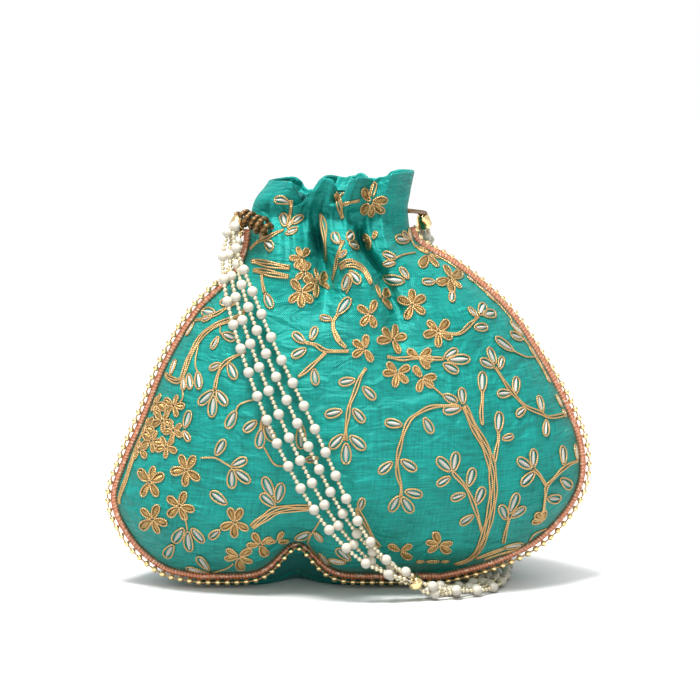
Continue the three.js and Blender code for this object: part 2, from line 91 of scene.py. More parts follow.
# Dips in the ruffle's edge: place across, fall, push inward, width
front_dips = [[-0.5, 12, 8, 0.11], [0.0, 8, 7, 0.085], [0.45, 1.5, 4, 0.14]]
back_dips = [[-0.45, 7, 6, 0.13], [0.05, 3, -3, 0.2], [0.5, 8, 6, 0.13]]


def smooth(low, high, value):
    """Smooth step: 0 before low, 1 after high, three squares less two cubes of the share between."""
    share = np.clip((value - low) / (high - low), 0, 1)
    return share * share * (3 - 2 * share)


def bell(offset, width):
    """Bell curve: e to the minus square of offset over width."""
    return np.exp(-(offset / width) ** 2)


def spline(points, share):
    """Smooth curve through points: cubics whose slope at a point is half the step between its
    neighbours, with the ends reflected. Share runs from 0 to 1."""
    points = np.asarray(points, float)
    padded = np.vstack([2 * points[0] - points[1], points, 2 * points[-1] - points[-2]])
    place = np.clip(share, 0, 1) * (len(points) - 1)
    low = np.minimum(place.astype(int), len(points) - 2)
    t = (place - low)[..., None]
    before, start, end, after = [padded[low + k] for k in range(4)]
    slope_in = (end - before) / 2
    slope_out = (after - start) / 2
    cubic = 2 * start - 2 * end + slope_in + slope_out
    square = 3 * end - 3 * start - 2 * slope_in - slope_out
    return ((cubic * t + square) * t + slope_in) * t + start


def seam_line(stations, forward, side):
    """Points of a side seam: x goes from the neck to the belly by the first share, z is the second
    share of the neck's height, y is minus the forward distance, then two points up the ruffle."""
    spread, rise = np.array(stations).T
    neck_side = neck_x + side * neck_half
    top_side = neck_x + ruffle_lean + side * ruffle_half
    x = neck_side + (side * belly_half - neck_side) * spread
    z = rise * neck_height
    z[0] = seam_height
    low = np.stack([x, -np.array(forward, float), z], axis=1)
    middle_x = neck_side + 0.35 * (top_side - neck_side)
    top = [[middle_x, 0, neck_height + ruffle_height / 2], [top_side, 0, neck_height + ruffle_height]]
    return np.vstack([low, top])


def crown_line(stations, face, belly):
    """Points of a middle line: y goes from the neck's half depth to the belly's by the first share,
    z is the second share of the neck's height, and stations on the floor sag under it."""
    spread, rise = np.array(stations).T
    y = face * (neck_half_depth + (belly - neck_half_depth) * spread)
    z = np.where(rise == 0, -base_sag, rise * neck_height)
    y[0] = -left_forward[0]
    z[0] = seam_height
    low = np.stack([np.zeros_like(y), y, z], axis=1)
    top_y = face * (neck_half_depth + ruffle_flare)
    half_y = face * (neck_half_depth + ruffle_flare / 2)
    top = [[0, half_y, neck_height + ruffle_height / 2], [0, top_y, neck_height + ruffle_height]]
    return np.vstack([low, top])


seam_lines = [seam_line(left_seam, left_forward, -1), seam_line(right_seam, right_forward, 1)]
crown_lines = {-1: crown_line(front_crown, -1, belly_front), 1: crown_line(back_crown, 1, belly_back)}


def creases(face, across, station):
    """Small unevenness of the cloth: sums of sines. Fine gathers grow towards the neck, puckers
    follow the side seams, and slow waves lie over the belly."""
    turn = 2.1 * face
    gather = 0.9 * np.sin(23 * across + 1.3 * np.sin(5 * across + turn) + turn)
    gather += 0.5 * np.sin(41 * across + 2.0 + turn) + 0.3 * np.sin(67 * across + 0.7)
    gather *= smooth(7.2, 9.7, station) * (1 - 0.5 * smooth(10, 11, station))
    edge = smooth(0.8, 0.95, np.abs(across)) * smooth(1, 2, station) * (1 - smooth(9, 9.8, station))
    pucker = 0.45 * np.sin(9.0 * station + 2.0 * np.sin(1.7 * station) + turn) * edge
    slow = 0.7 * np.sin(3.3 * across + 0.9 * station + turn) * np.sin(0.8 * station + turn)
    slow += 0.35 * np.sin(7.1 * across - 1.6 * station + 1.0)
    slow *= smooth(0.3, 1.5, station) * (1 - smooth(8, 9.5, station))
    flutter = 1.3 * np.sin(13 * across + turn) * smooth(10.4, 12, station)
    return gather + pucker + slow + flutter


def cloth(face, across, station, tuck_side=0.0, tuck_crown=0.0):
    """Point on the front (face -1) or back (1). Between the two seams x is straight, y swells to the
    crown line by (1 - |across|^2.4)^0.62 and z by 1 - |across|^3; then the notch at the bottom lifts
    it, folds and dips press it in, and the side slits open it. The tucks bring a lining inside."""
    share = station / 12
    left = spline(seam_lines[0], share)
    right = spline(seam_lines[1], share)
    crown = spline(crown_lines[face], share)
    place = (1 + across) / 2
    size = np.abs(across)
    full = np.maximum(0, 1 - size ** 2.4) ** 0.62
    x = left[..., 0] + tuck_side + (right[..., 0] - left[..., 0] - 2 * tuck_side) * place
    seam_y = left[..., 1] + (right[..., 1] - left[..., 1]) * place
    middle_y = (left[..., 1] + right[..., 1]) / 2
    wake = smooth(0, 1, station)
    y = seam_y + (crown[..., 1] - face * tuck_crown * wake - middle_y) * full
    seam_z = left[..., 2] + (right[..., 2] - left[..., 2]) * place
    middle_z = (left[..., 2] + right[..., 2]) / 2
    z = seam_z + (crown[..., 2] - middle_z) * (1 - size ** 3)
    notch = bell(x - notch_x, notch_width)
    z = z + notch_height * notch * (1 - smooth(0, 3.5 if face < 0 else 3.0, station))
    if face < 0:
        y = y + notch_valley * notch * smooth(0, 1, station) * (1 - smooth(1.5, 4.5, station))
    ruffle = smooth(10.3, 12, station)
    z = z - ruffle_slant * (1 - across) / 2 * ruffle
    for at, fall, push, width in front_dips if face < 0 else back_dips:
        y = y - face * push * bell(across - at, width) * ruffle * full
        z = z - fall * bell(across - at, width) * ruffle
    for neck, foot, start, depth, width, lean in front_folds if face < 0 else back_folds:
        climb = np.clip((station - start) / (10 - start), 0, 1)
        strength = smooth(start, 9, station) * (1 - 0.85 * smooth(9, 9.9, station))
        fold = strength * bell(across - foot - (neck - foot) * climb, width) * full
        x = x + lean * fold
        y = y - face * depth * fold
    y = y - face * neck_groove * bell(station - 10, 0.35) * full
    slit = smooth(9.2, 9.9, station) * (1 - 0.9 * smooth(10.6, 11.8, station))
    y = y + face * 2.9 * slit * size ** 6
    y = y + face * creases(face, across, station) * full
    return np.stack([x, y, np.maximum(0, z)], axis=-1)


def unit(vectors):
    """Vectors divided by their lengths."""
    return vectors / np.maximum(1e-9, np.linalg.norm(vectors, axis=-1, keepdims=True))


def grid_normals(points):
    """Normals of a grid: the cross product of its steps along a row and up a column."""
    return unit(np.cross(np.gradient(points, axis=1), np.gradient(points, axis=0)))


def grid_faces(rows, columns, flip=False):
    """Corner numbers of the squares of a grid with that many rows and columns of points."""
    index = np.arange(rows * columns).reshape(rows, columns)
    corners = [index[:-1, :-1], index[:-1, 1:], index[1:, 1:], index[1:, :-1]]
    return np.stack(corners[::-1] if flip else corners, axis=-1).reshape(-1, 4)


def make_piece(name, points, faces, material, uv=None):
    """Make one mesh object from points in millimetres and four-cornered faces; uv is per corner, and
    zero where none is given."""
    points = np.asarray(points, np.float32).reshape(-1, 3) * 0.001
    faces = np.asarray(faces, np.int32).reshape(-1, 4)
    if uv is None:
        uv = np.zeros((len(faces), 4, 2))
    mesh = bpy.data.meshes.new(name)
    mesh.vertices.add(len(points))
    mesh.vertices.foreach_set("co", points.ravel())
    mesh.loops.add(faces.size)
    mesh.loops.foreach_set("vertex_index", faces.ravel())
    mesh.polygons.add(len(faces))
    mesh.polygons.foreach_set("loop_start", np.arange(0, faces.size, 4, dtype=np.int32))
    mesh.polygons.foreach_set("use_smooth", np.ones(len(faces), bool))
    layer = mesh.uv_layers.new(name="UVMap")
    layer.data.foreach_set("uv", np.asarray(uv, np.float32).ravel())
    mesh.update(calc_edges=True)
    mesh.validate()
    mesh.materials.append(material)
    piece = bpy.data.objects.new(name, mesh)
    bpy.context.scene.collection.objects.link(piece)
    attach(piece, "root")
    return piece


def run_lengths(points, axis):
    """Length along a grid's rows or columns: the running sum of the steps between points."""
    steps = np.linalg.norm(np.diff(points, axis=axis), axis=-1)
    pad = [(0, 0), (0, 0)]
    pad[axis] = (1, 0)
    return np.pad(np.cumsum(steps, axis=axis), pad)


def put(tree, kind, inputs=None, **settings):
    """Add a shader node with its settings; an input is a socket to link or a plain value."""
    made = tree.nodes.new(kind)
    for key, value in settings.items():
        setattr(made, key, value)
    for key, value in (inputs or {}).items():
        if isinstance(value, bpy.types.NodeSocket):
            tree.links.new(value, made.inputs[key])
        else:
            made.inputs[key].default_value = value
    return made


def figure(tree, operation, first, second=0.0):
    """Math node: the operation on two sockets or numbers."""
    return put(tree, "ShaderNodeMath", {0: first, 1: second}, operation=operation).outputs[0]


def blend_colour(tree, factor, first, second):
    """Mix node: from the first colour to the second by the factor."""
    made = put(tree, "ShaderNodeMix", {0: factor, 6: first, 7: second}, data_type="RGBA")
    return made.outputs[2]


def new_group(name, inputs, outputs):
    """Empty shader group with vector or value inputs and value outputs."""
    tree = bpy.data.node_groups.new(name, "ShaderNodeTree")
    for label, kind in inputs:
        tree.interface.new_socket(name=label, in_out="INPUT", socket_type=kind)
    for label in outputs:
        tree.interface.new_socket(name=label, in_out="OUTPUT", socket_type="NodeSocketFloat")
    return tree, put(tree, "NodeGroupInput").outputs, put(tree, "NodeGroupOutput").inputs


def new_material(name):
    """Material with a Principled surface, and the socket of its UV map."""
    material = bpy.data.materials.new(name)
    material.use_nodes = True
    tree = material.node_tree
    uv = put(tree, "ShaderNodeUVMap", uv_map="UVMap").outputs[0]
    return material, tree, tree.nodes["Principled BSDF"], uv


def noise(tree, place, scale, detail):
    """Noise node: its value at a place."""
    return put(tree, "ShaderNodeTexNoise", {"Vector": place, "Scale": scale, "Detail": detail}).outputs[0]


def stretched(tree, place, sizes):
    """Mapping node: the place times a size on each axis."""
    return put(tree, "ShaderNodeMapping", {0: place, 3: sizes}).outputs[0]


def scaled_sum(tree, parts):
    """Sum of sockets, each times its share."""
    total = 0.0
    for socket, share in parts:
        total = figure(tree, "ADD", total, figure(tree, "MULTIPLY", socket, share))
    return total


def set_finish(surface, values):
    """Plain numbers and colours of a surface, by the names of its inputs."""
    for label, value in values.items():
        surface.inputs[label].default_value = value


weave_tree, weave_in, weave_out = new_group(
    "slub_weave", [("Place", "NodeSocketVector")], ["Tone", "Height", "Crumple"])
thread_pitch = 0.95
weave_place = put(weave_tree, "ShaderNodeSeparateXYZ", {0: weave_in["Place"]}).outputs
warp_turn = figure(weave_tree, "MULTIPLY", weave_place[0], 2 * np.pi / thread_pitch)
weft_turn = figure(weave_tree, "MULTIPLY", weave_place[1], 2 * np.pi / thread_pitch)
warp = figure(weave_tree, "SINE", warp_turn)
weft = figure(weave_tree, "SINE", weft_turn)
over_under = figure(weave_tree, "MULTIPLY", warp, weft)
slub = noise(weave_tree, stretched(weave_tree, weave_in["Place"], (0.09, 1.5, 1.0)), 1.0, 3.0)
warp_slub = noise(weave_tree, stretched(weave_tree, weave_in["Place"], (1.4, 0.07, 1.0)), 1.0, 2.0)
cloud = noise(weave_tree, weave_in["Place"], 0.045, 3.0)
tone = scaled_sum(weave_tree, [(slub, 0.42), (over_under, 0.12), (warp_slub, 0.3), (cloud, 0.2)])
weave_tree.links.new(tone, weave_out["Tone"])
weave_tree.links.new(scaled_sum(weave_tree, [(over_under, 0.5), (slub, 1.0)]), weave_out["Height"])
crumple_place = put(weave_tree, "ShaderNodeMapping", {
    0: weave_in["Place"], 2: (0, 0, 0.5), 3: (0.075, 0.13, 1.0)}).outputs[0]
crumple = put(weave_tree, "ShaderNodeTexNoise", {
    "Vector": crumple_place, "Scale": 1.0, "Detail": 3.0, "Distortion": 0.6}).outputs[0]
weave_tree.links.new(crumple, weave_out["Crumple"])

silk, silk_tree, silk_surface, silk_uv = new_material("silk")
silk_weave = put(silk_tree, "ShaderNodeGroup", node_tree=weave_tree)
silk_tree.links.new(silk_uv, silk_weave.inputs["Place"])
silk_tone = put(silk_tree, "ShaderNodeMapRange", {
    0: silk_weave.outputs["Tone"], 1: 0.27, 2: 0.66}).outputs[0]
silk_colour = blend_colour(silk_tree, silk_tone, (0.001, 0.15, 0.122, 1), (0.009, 0.53, 0.46, 1))
silk_tree.links.new(silk_colour, silk_surface.inputs["Base Color"])
set_finish(silk_surface, {
    "Metallic": 0.2, "Roughness": 0.4, "Specular IOR Level": 0.28,
    "Sheen Weight": 0.04, "Sheen Tint": (0.45, 1.0, 0.9, 1)})
silk_crumple = put(silk_tree, "ShaderNodeBump", {
    "Height": silk_weave.outputs["Crumple"], "Strength": 0.55, "Distance": 0.006})
silk_bump = put(silk_tree, "ShaderNodeBump", {
    "Height": silk_weave.outputs["Height"], "Strength": 0.4, "Distance": 0.0004,
    "Normal": silk_crumple.outputs[0]})
silk_tree.links.new(silk_bump.outputs[0], silk_surface.inputs["Normal"])

hem_radius = 0.8
hem_rows = 17
panel_grids = {}
for face, columns, rows in [(-1, 300, 250), (1, 240, 210)]:
    across = np.sin((np.linspace(0, 1, columns) - 0.5) * np.pi)[None, :]
    station = np.linspace(0, 12, rows)[:, None]
    points = cloth(face, across + 0 * station, station + 0 * across)
    panel_grids[face] = points
    outward = -face * grid_normals(points)
    upward = unit(np.gradient(points, axis=0))
    bends = np.array([np.pi / 4, np.pi / 2, 3 * np.pi / 4])[:, None, None]
    bent = (np.cos(bends) - 1) * outward[-1] + np.sin(bends) * upward[-1]
    hem_top = points[-1] + hem_radius * bent
    hem_back = points[:-hem_rows - 1:-1] - 2 * hem_radius * outward[:-hem_rows - 1:-1]
    sheet = np.vstack([points, hem_top, hem_back])
    middle = columns // 2
    along = run_lengths(sheet, 1)
    along = along - along[:, middle:middle + 1]
    climb = np.repeat(run_lengths(sheet, 0)[:, middle:middle + 1], columns, axis=1)
    faces = grid_faces(len(sheet), columns, flip=face > 0)
    place = np.stack([along, climb], axis=-1).reshape(-1, 2)
    name = "silk_front" if face < 0 else "silk_back"
    make_piece(name, sheet, faces, silk, place[faces])
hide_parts("front_panel")
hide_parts("back_panel")


# Lining
# A plain satin bag of the same cut hangs inside the silk and is sewn to it under the ruffle.

lining_tuck_side = [0, 0, 0, 0, 0, 0, 0.5, 2, 4.5, 7.5, 9.4, 9.4, 6]
lining_tuck_crown = [0, 0, 0, 0, 0, 0.4, 1.5, 4, 8.6, 10.6, 7.6, 7.6, 6]
lining_side_room = 1.7
lining_crown_room = 2.3
lining_columns = 90

satin, satin_tree, satin_surface, satin_uv = new_material("lining_satin")
satin_weave = put(satin_tree, "ShaderNodeGroup", node_tree=weave_tree)
satin_tree.links.new(satin_uv, satin_weave.inputs["Place"])
satin_colour = blend_colour(
    satin_tree, satin_weave.outputs["Tone"], (0.01, 0.17, 0.155, 1), (0.02, 0.27, 0.245, 1))
satin_tree.links.new(satin_colour, satin_surface.inputs["Base Color"])
satin_surface.inputs["Roughness"].default_value = 0.5
satin_bump = put(satin_tree, "ShaderNodeBump", {
    "Height": satin_weave.outputs["Height"], "Strength": 0.2, "Distance": 0.0002})
satin_tree.links.new(satin_bump.outputs[0], satin_surface.inputs["Normal"])

for face, name, node in [(-1, "lining_front", "front_lining"), (1, "lining_back", "back_lining")]:
    across = np.sin((np.linspace(0, 1, lining_columns) - 0.5) * np.pi)[None, :]
    station = np.linspace(0.25, 11.2, 90)[:, None]
    tuck_side = lining_side_room + np.interp(station, np.arange(13), lining_tuck_side)
    tuck_crown = lining_crown_room + np.interp(station, np.arange(13), lining_tuck_crown)
    points = cloth(face, across + 0 * station, station + 0 * across, tuck_side, tuck_crown)
    points[..., 2] += 2.0 * (1 - smooth(3, 5, station))
    faces = grid_faces(len(points), lining_columns, flip=face < 0)
    place = np.stack([run_lengths(points, 1), run_lengths(points, 0)], axis=-1).reshape(-1, 2)
    lining = make_piece(name, points, faces, satin, place[faces])
    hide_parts(node)


# Embroidery
# Gold cord is couched on the silk before it is sewn: stems of several cords side by side, leaves
# of a cord loop round a bar of silver plate, and flowers of cord loops filled with gold coil.

# The view in which the motifs' places are given, in pixels of a frame 700 wide
view_target = np.array([1.4, 0.0, 108.6])
view_distance = 1200.0
view_tilt = np.radians(8.0)
view_lens = 133.3
cord_radius = 0.46
cord_spacing = 1.14

# Stems: number of cords, then the pixels that the stem passes
stems = [
    [3, (244, 310), (242, 315), (231, 320), (217, 325), (205, 333), (198, 342), (193, 351), (188, 361),
     (185, 371), (182, 378), (177, 381), (168, 377), (166, 373)],
    [2, (239, 302), (226, 309), (217, 314), (203, 319), (194, 321)],
    [1, (199, 344), (196, 357), (196, 365), (198, 372)],
    [1, (221, 327), (220, 332), (222, 335)],
    [2, (246, 351), (233, 358), (223, 365), (218, 376), (215, 390)],
    [1, (262, 398), (251, 400), (240, 405), (236, 411)],
    [1, (183, 390), (183, 398), (180, 402)],
    [3, (140, 436), (131, 466), (124, 486), (118, 503)],
    [1, (201, 458), (209, 458), (217, 458), (227, 464), (232, 468)],
    [1, (213, 572), (227, 568), (233, 563)],
    [2, (251, 249), (258, 242), (267, 238), (275, 234), (284, 230)],
    [3, (252, 261), (268, 264), (290, 268)],
    [3, (254, 270), (269, 273), (289, 277)],
    [2, (262, 274), (263, 284), (265, 293)],
    [2, (291, 200), (291, 212), (288, 226)],
    [3, (321, 214), (325, 235), (326, 261)],
    [2, (306, 343), (316, 345), (326, 351), (349, 351)],
    [2, (326, 352), (316, 362), (307, 370), (298, 377)],
    [2, (333, 320), (334, 331), (338, 340), (346, 348)],
    [2, (366, 368), (361, 376), (355, 391), (350, 404), (348, 415), (346, 427), (346, 441)],
    [1, (264, 447), (268, 455), (275, 464), (284, 466)],
    [2, (264, 415), (262, 422), (261, 430)],
    [4, (252, 527), (264, 518), (275, 511), (291, 508), (313, 508)],
    [1, (321, 518), (315, 528), (310, 538), (307, 548), (310, 554), (322, 558)],
    [3, (357, 508), (360, 516), (367, 529), (373, 540), (379, 547)],
    [3, (375, 180), (374, 186), (371, 196)],
    [3, (341, 182), (339, 190), (340, 206), (343, 219)],
    [2, (343, 205), (351, 202), (359, 200)],
    [2, (343, 241), (339, 253), (336, 266), (333, 280)],
    [4, (340, 267), (350, 263), (362, 269), (371, 284)],
    [1, (351, 272), (352, 282), (347, 294)],
    [2, (338, 314), (333, 323), (335, 333), (340, 341)],
    [1, (411, 241), (415, 248)],
    [1, (415, 253), (406, 254), (396, 258)],
    [1, (450, 249), (463, 261), (455, 277)],
    [2, (440, 333), (458, 334), (468, 326), (473, 322), (478, 316)],
    [2, (387, 357), (401, 359), (418, 358), (444, 359)],
    [1, (425, 382), (436, 390), (443, 395)],
    [2, (460, 406), (441, 406), (428, 408), (417, 414), (409, 421), (404, 431), (401, 443), (398, 454),
     (397, 464), (398, 476), (401, 487), (401, 496)],
    [2, (482, 392), (482, 402), (481, 414), (482, 425)],
    [2, (482, 532), (476, 512), (468, 491), (455, 475), (452, 471)],
    [4, (464, 406), (474, 427), (486, 449), (491, 465), (493, 482), (492, 502), (488, 522), (482, 541),
     (472, 557), (455, 564)],
    [1, (486, 275), (495, 280), (503, 290), (511, 299), (518, 310)],
    [1, (517, 308), (513, 311), (511, 321)],
    [2, (523, 339), (532, 349), (537, 356), (548, 362), (558, 371), (564, 374)],
    [1, (513, 351), (525, 357), (537, 356)],
    [2, (495, 368), (503, 380), (513, 394), (525, 406), (540, 413), (548, 417), (563, 415), (570, 411)],
    [2, (498, 432), (498, 441), (496, 451), (494, 462)],
    [2, (509, 517), (506, 529), (503, 543)],
    [2, (543, 513), (545, 495), (546, 487), (552, 480), (561, 470), (570, 464), (580, 460)],
    [2, (546, 486), (540, 476), (533, 469)],
    [3, (476, 558), (490, 553), (503, 548)],
    [2, (484, 559), (501, 553), (513, 550), (523, 546)],
    [1, (529, 540), (535, 533), (548, 527)],
    [1, (184, 513), (186, 522), (188, 530)],
]
# Leaves: the pixels of the base and the tip
leaves = [
    (236, 302, 221, 302), (215, 313, 203, 311), (212, 317, 203, 320), (194, 323, 185, 335),
    (223, 334, 236, 339), (219, 337, 212, 349), (198, 372, 200, 389), (171, 375, 176, 360),
    (184, 378, 184, 390), (189, 374, 191, 389), (221, 364, 210, 369), (229, 363, 236, 379),
    (214, 391, 199, 404), (214, 396, 212, 417), (217, 391, 227, 405), (236, 411, 227, 428),
    (257, 421, 244, 431), (216, 455, 225, 440), (185, 428, 190, 411), (184, 431, 190, 441),
    (232, 466, 247, 459), (232, 469, 232, 488), (235, 470, 250, 482), (227, 504, 211, 492),
    (184, 528, 174, 542), (188, 531, 190, 551), (192, 528, 204, 542), (175, 543, 166, 558),
    (210, 570, 198, 554), (210, 572, 186, 567), (213, 573, 202, 578), (220, 530, 210, 538),
    (290, 204, 275, 201), (286, 227, 282, 213), (293, 224, 302, 215), (284, 231, 299, 232),
    (287, 228, 294, 221), (261, 239, 267, 227), (264, 241, 275, 249), (266, 294, 272, 308),
    (332, 320, 320, 317), (311, 340, 316, 327), (305, 343, 293, 333), (306, 349, 292, 357),
    (262, 429, 259, 448), (265, 425, 274, 441), (355, 380, 339, 383), (363, 387, 375, 399),
    (342, 411, 325, 415), (353, 409, 364, 422), (343, 435, 330, 448), (346, 443, 346, 464),
    (350, 436, 365, 449), (314, 369, 316, 385), (301, 423, 301, 450), (318, 458, 306, 460),
    (273, 497, 264, 477), (277, 502, 282, 483), (275, 506, 261, 494), (310, 532, 296, 539),
    (315, 532, 322, 541), (310, 540, 305, 551), (359, 510, 363, 498), (350, 560, 337, 548),
    (346, 562, 329, 559), (339, 244, 334, 233), (344, 242, 356, 231), (344, 243, 362, 245),
    (340, 257, 346, 251), (350, 271, 360, 283), (349, 274, 343, 290), (338, 314, 350, 298),
    (411, 241, 414, 227), (408, 240, 395, 239), (409, 240, 402, 232), (396, 258, 383, 253),
    (395, 261, 383, 266), (435, 282, 422, 282), (452, 291, 451, 302), (468, 278, 486, 275),
    (408, 279, 400, 268), (403, 281, 385, 278), (477, 317, 468, 308), (479, 315, 484, 304),
    (474, 328, 487, 327), (483, 315, 495, 313), (444, 358, 457, 350), (447, 360, 470, 359),
    (443, 364, 458, 372), (443, 395, 457, 402), (463, 404, 461, 388), (461, 408, 443, 411),
    (402, 425, 385, 422), (424, 418, 432, 433), (482, 392, 482, 372), (392, 462, 379, 473),
    (401, 460, 416, 470), (405, 491, 422, 495), (399, 496, 390, 511), (402, 497, 412, 512),
    (451, 471, 437, 458), (453, 471, 456, 452), (450, 477, 437, 485), (468, 486, 473, 468),
    (465, 494, 451, 499), (476, 504, 483, 487), (473, 515, 460, 524), (496, 282, 485, 289),
    (498, 285, 499, 299), (521, 335, 510, 322), (522, 336, 525, 325), (522, 339, 510, 334),
    (539, 356, 539, 342), (513, 351, 495, 338), (557, 371, 550, 381), (495, 364, 488, 348),
    (494, 367, 480, 360), (499, 369, 502, 357), (511, 393, 497, 394), (515, 394, 516, 377),
    (525, 408, 516, 416), (542, 412, 538, 396), (566, 415, 576, 404), (574, 400, 562, 392),
    (498, 432, 499, 412), (502, 439, 513, 436), (506, 519, 500, 505), (509, 513, 517, 493),
    (511, 517, 525, 507), (531, 468, 517, 459), (533, 467, 533, 449), (534, 472, 521, 485),
    (563, 465, 562, 446), (560, 479, 571, 487), (547, 498, 560, 499), (580, 458, 579, 442),
    (546, 420, 545, 436), (503, 547, 522, 544),
]
# Flowers: the middle's pixel, the petals' reach in pixels, and the directions of the petals in degrees
flowers = [
    (150, 482, 16, (227, 286, 333, 59, 119)), (187, 470, 16, (247, 300, 37, 97, 174)),
    (153, 519, 15, (221, 292, 17, 67, 143)), (180, 506, 15, (216, 291, 14, 65, 139)),
    (235, 522, 15, (250, 297, 29, 92, 156)), (239, 556, 14, (210, 330, 25, 80, 170)),
    (156, 404, 11, (20, 90, 160, 230, 300)), (174, 406, 11, (0, 70, 140, 215, 290)),
    (146, 426, 11, (40, 110, 180, 250, 320)), (163, 421, 11, (15, 85, 160, 235, 305)),
    (174, 431, 10, (30, 100, 175, 245, 320)), (152, 441, 11, (10, 80, 155, 225, 300)),
    (140, 450, 10, (45, 120, 190, 260, 330)), (167, 447, 11, (25, 95, 165, 240, 310)),
    (301, 292, 15, (140, 88, 42, 330, 234)), (317, 283, 14, (200, 260, 320, 20, 100)),
    (301, 258, 11, (250, 310, 60, 120, 180)), (304, 272, 10, (230, 300, 40, 140)),
    (371, 202, 16, (236, 350, 40, 84, 131)), (428, 255, 15, (215, 297, 4, 54, 123)),
    (450, 279, 14, (250, 330, 40, 85, 160)), (412, 305, 15, (209, 268, 325, 34, 113)),
    (380, 299, 14, (253, 322, 35)), (370, 314, 14, (213, 290, 128, 70)),
    (392, 340, 15, (345, 60, 180, 230, 285)), (365, 349, 14, (215, 275, 150, 60)),
    (438, 332, 15, (225, 311, 24, 90, 167)), (419, 358, 14, (215, 323, 6, 45)),
    (397, 373, 14, (225, 180, 333, 100, 42)), (422, 378, 14, (234, 355, 106, 40)),
    (439, 544, 13, (250, 355, 40, 145, 190)), (400, 551, 13, (210, 330, 35)),
    (260, 544, 13, (175, 330, 60, 240)), (277, 541, 11, (0, 180, 300)),
    (543, 521, 11, (180, 270, 225)), (372, 240, 9, (120, 200, 300)),
    (425, 561, 8, (0, 180)), (440, 561, 8, (0, 180)),
]

view_along = np.array([0, np.cos(view_tilt), -np.sin(view_tilt)])
view_up = np.array([0, np.sin(view_tilt), np.cos(view_tilt)])


def to_pixels(points):
    """Pixel and depth of points in the view: the steps right and up over the depth, times the focal
    length in pixels, from the middle of the frame."""
    offset = points - view_target + view_along * view_distance
    depth = offset @ view_along
    focal = 700 * view_lens / 36
    across_frame = 350 + focal * offset[..., 0] / depth
    down_frame = 350 - focal * (offset @ view_up) / depth
    return np.stack([across_frame, down_frame], axis=-1), depth


def on_front(pixels):
    """Places on the front cloth seen at pixels: the foremost grid point within 2.5 pixels, then five
    Newton steps of the slopes of the pixel by across and by station."""
    pixels = np.asarray(pixels, float).reshape(-1, 2)
    rows, columns = panel_grids[-1].shape[:2]
    seen, depth = to_pixels(panel_grids[-1][::2, ::2].reshape(-1, 3))
    found = []
    for part in np.array_split(pixels, len(pixels) // 60 + 1):
        gap = np.linalg.norm(part[:, None] - seen[None], axis=-1)
        found.append(np.argmin(np.where(gap < 2.5, depth[None], 1e4 + gap), axis=1))
    row, column = np.divmod(np.concatenate(found), len(range(0, columns, 2)))
    across = np.sin((2 * column / (columns - 1) - 0.5) * np.pi)
    station = 12 * 2 * row / (rows - 1)
    for _ in range(5):
        here = to_pixels(cloth(-1, across, station))[0]
        by_across = (to_pixels(cloth(-1, across + 0.003, station))[0] - here) / 0.003
        by_station = (to_pixels(cloth(-1, across, station + 0.02))[0] - here) / 0.02
        miss = pixels - here
        area = by_across[:, 0] * by_station[:, 1] - by_across[:, 1] * by_station[:, 0]
        area = np.where(np.abs(area) < 20, 20 * np.sign(area + 1e-9), area)
        step_across = (miss[:, 0] * by_station[:, 1] - miss[:, 1] * by_station[:, 0]) / area
        step_station = (miss[:, 1] * by_across[:, 0] - miss[:, 0] * by_across[:, 1]) / area
        across = np.clip(across + np.clip(step_across, -0.03, 0.03), -0.985, 0.985)
        station = np.clip(station + np.clip(step_station, -0.2, 0.2), 0.1, 11.8)
    return np.stack([across, station], axis=-1)


def slopes(face, places):
    """Steps of the cloth per unit of across and of station, and the outward normal."""
    across = places[..., 0]
    station = places[..., 1]
    by_across = (cloth(face, across + 0.004, station) - cloth(face, across - 0.004, station)) / 0.008
    by_station = (cloth(face, across, station + 0.04) - cloth(face, across, station - 0.04)) / 0.08
    return by_across, by_station, -face * unit(np.cross(by_across, by_station))


def shifted(face, places, offset):
    """Places moved by an offset in millimetres, by least squares in the cloth's two slopes."""
    by_across, by_station, _ = slopes(face, places)
    square_across = np.sum(by_across * by_across, axis=-1)
    square_station = np.sum(by_station * by_station, axis=-1)
    mixed = np.sum(by_across * by_station, axis=-1)
    pull_across = np.sum(offset * by_across, axis=-1)
    pull_station = np.sum(offset * by_station, axis=-1)
    area = square_across * square_station - mixed * mixed
    move_across = pull_across * square_station - pull_station * mixed
    move_station = pull_station * square_across - pull_across * mixed
    move = np.stack([move_across, move_station], axis=-1) / area[..., None]
    return np.clip(places + move, [-0.99, 0.05], [0.99, 11.9])


def motif_places(face, bases, tips, along, side, share):
    """Places of a motif's points between base and tip: along is a share of the length and side one
    of the half width, which is a share of the length."""
    middle = (bases + tips) / 2
    _, _, normal = slopes(face, middle)
    axis = cloth(face, tips[:, 0], tips[:, 1]) - cloth(face, bases[:, 0], bases[:, 1])
    length = np.clip(np.linalg.norm(axis, axis=-1), 3.5, 11)[:, None, None]
    axis = unit(axis - normal * np.sum(axis * normal, axis=-1, keepdims=True))
    wide = np.cross(normal, axis)
    half = np.clip(share * length, 1.1, 2.2)
    offset = length * (along[None, :, None] - 0.5) * axis[:, None]
    offset = offset + half * side[None, :, None] * wide[:, None]
    return shifted(face, np.repeat(middle[:, None], len(along), axis=1), offset)


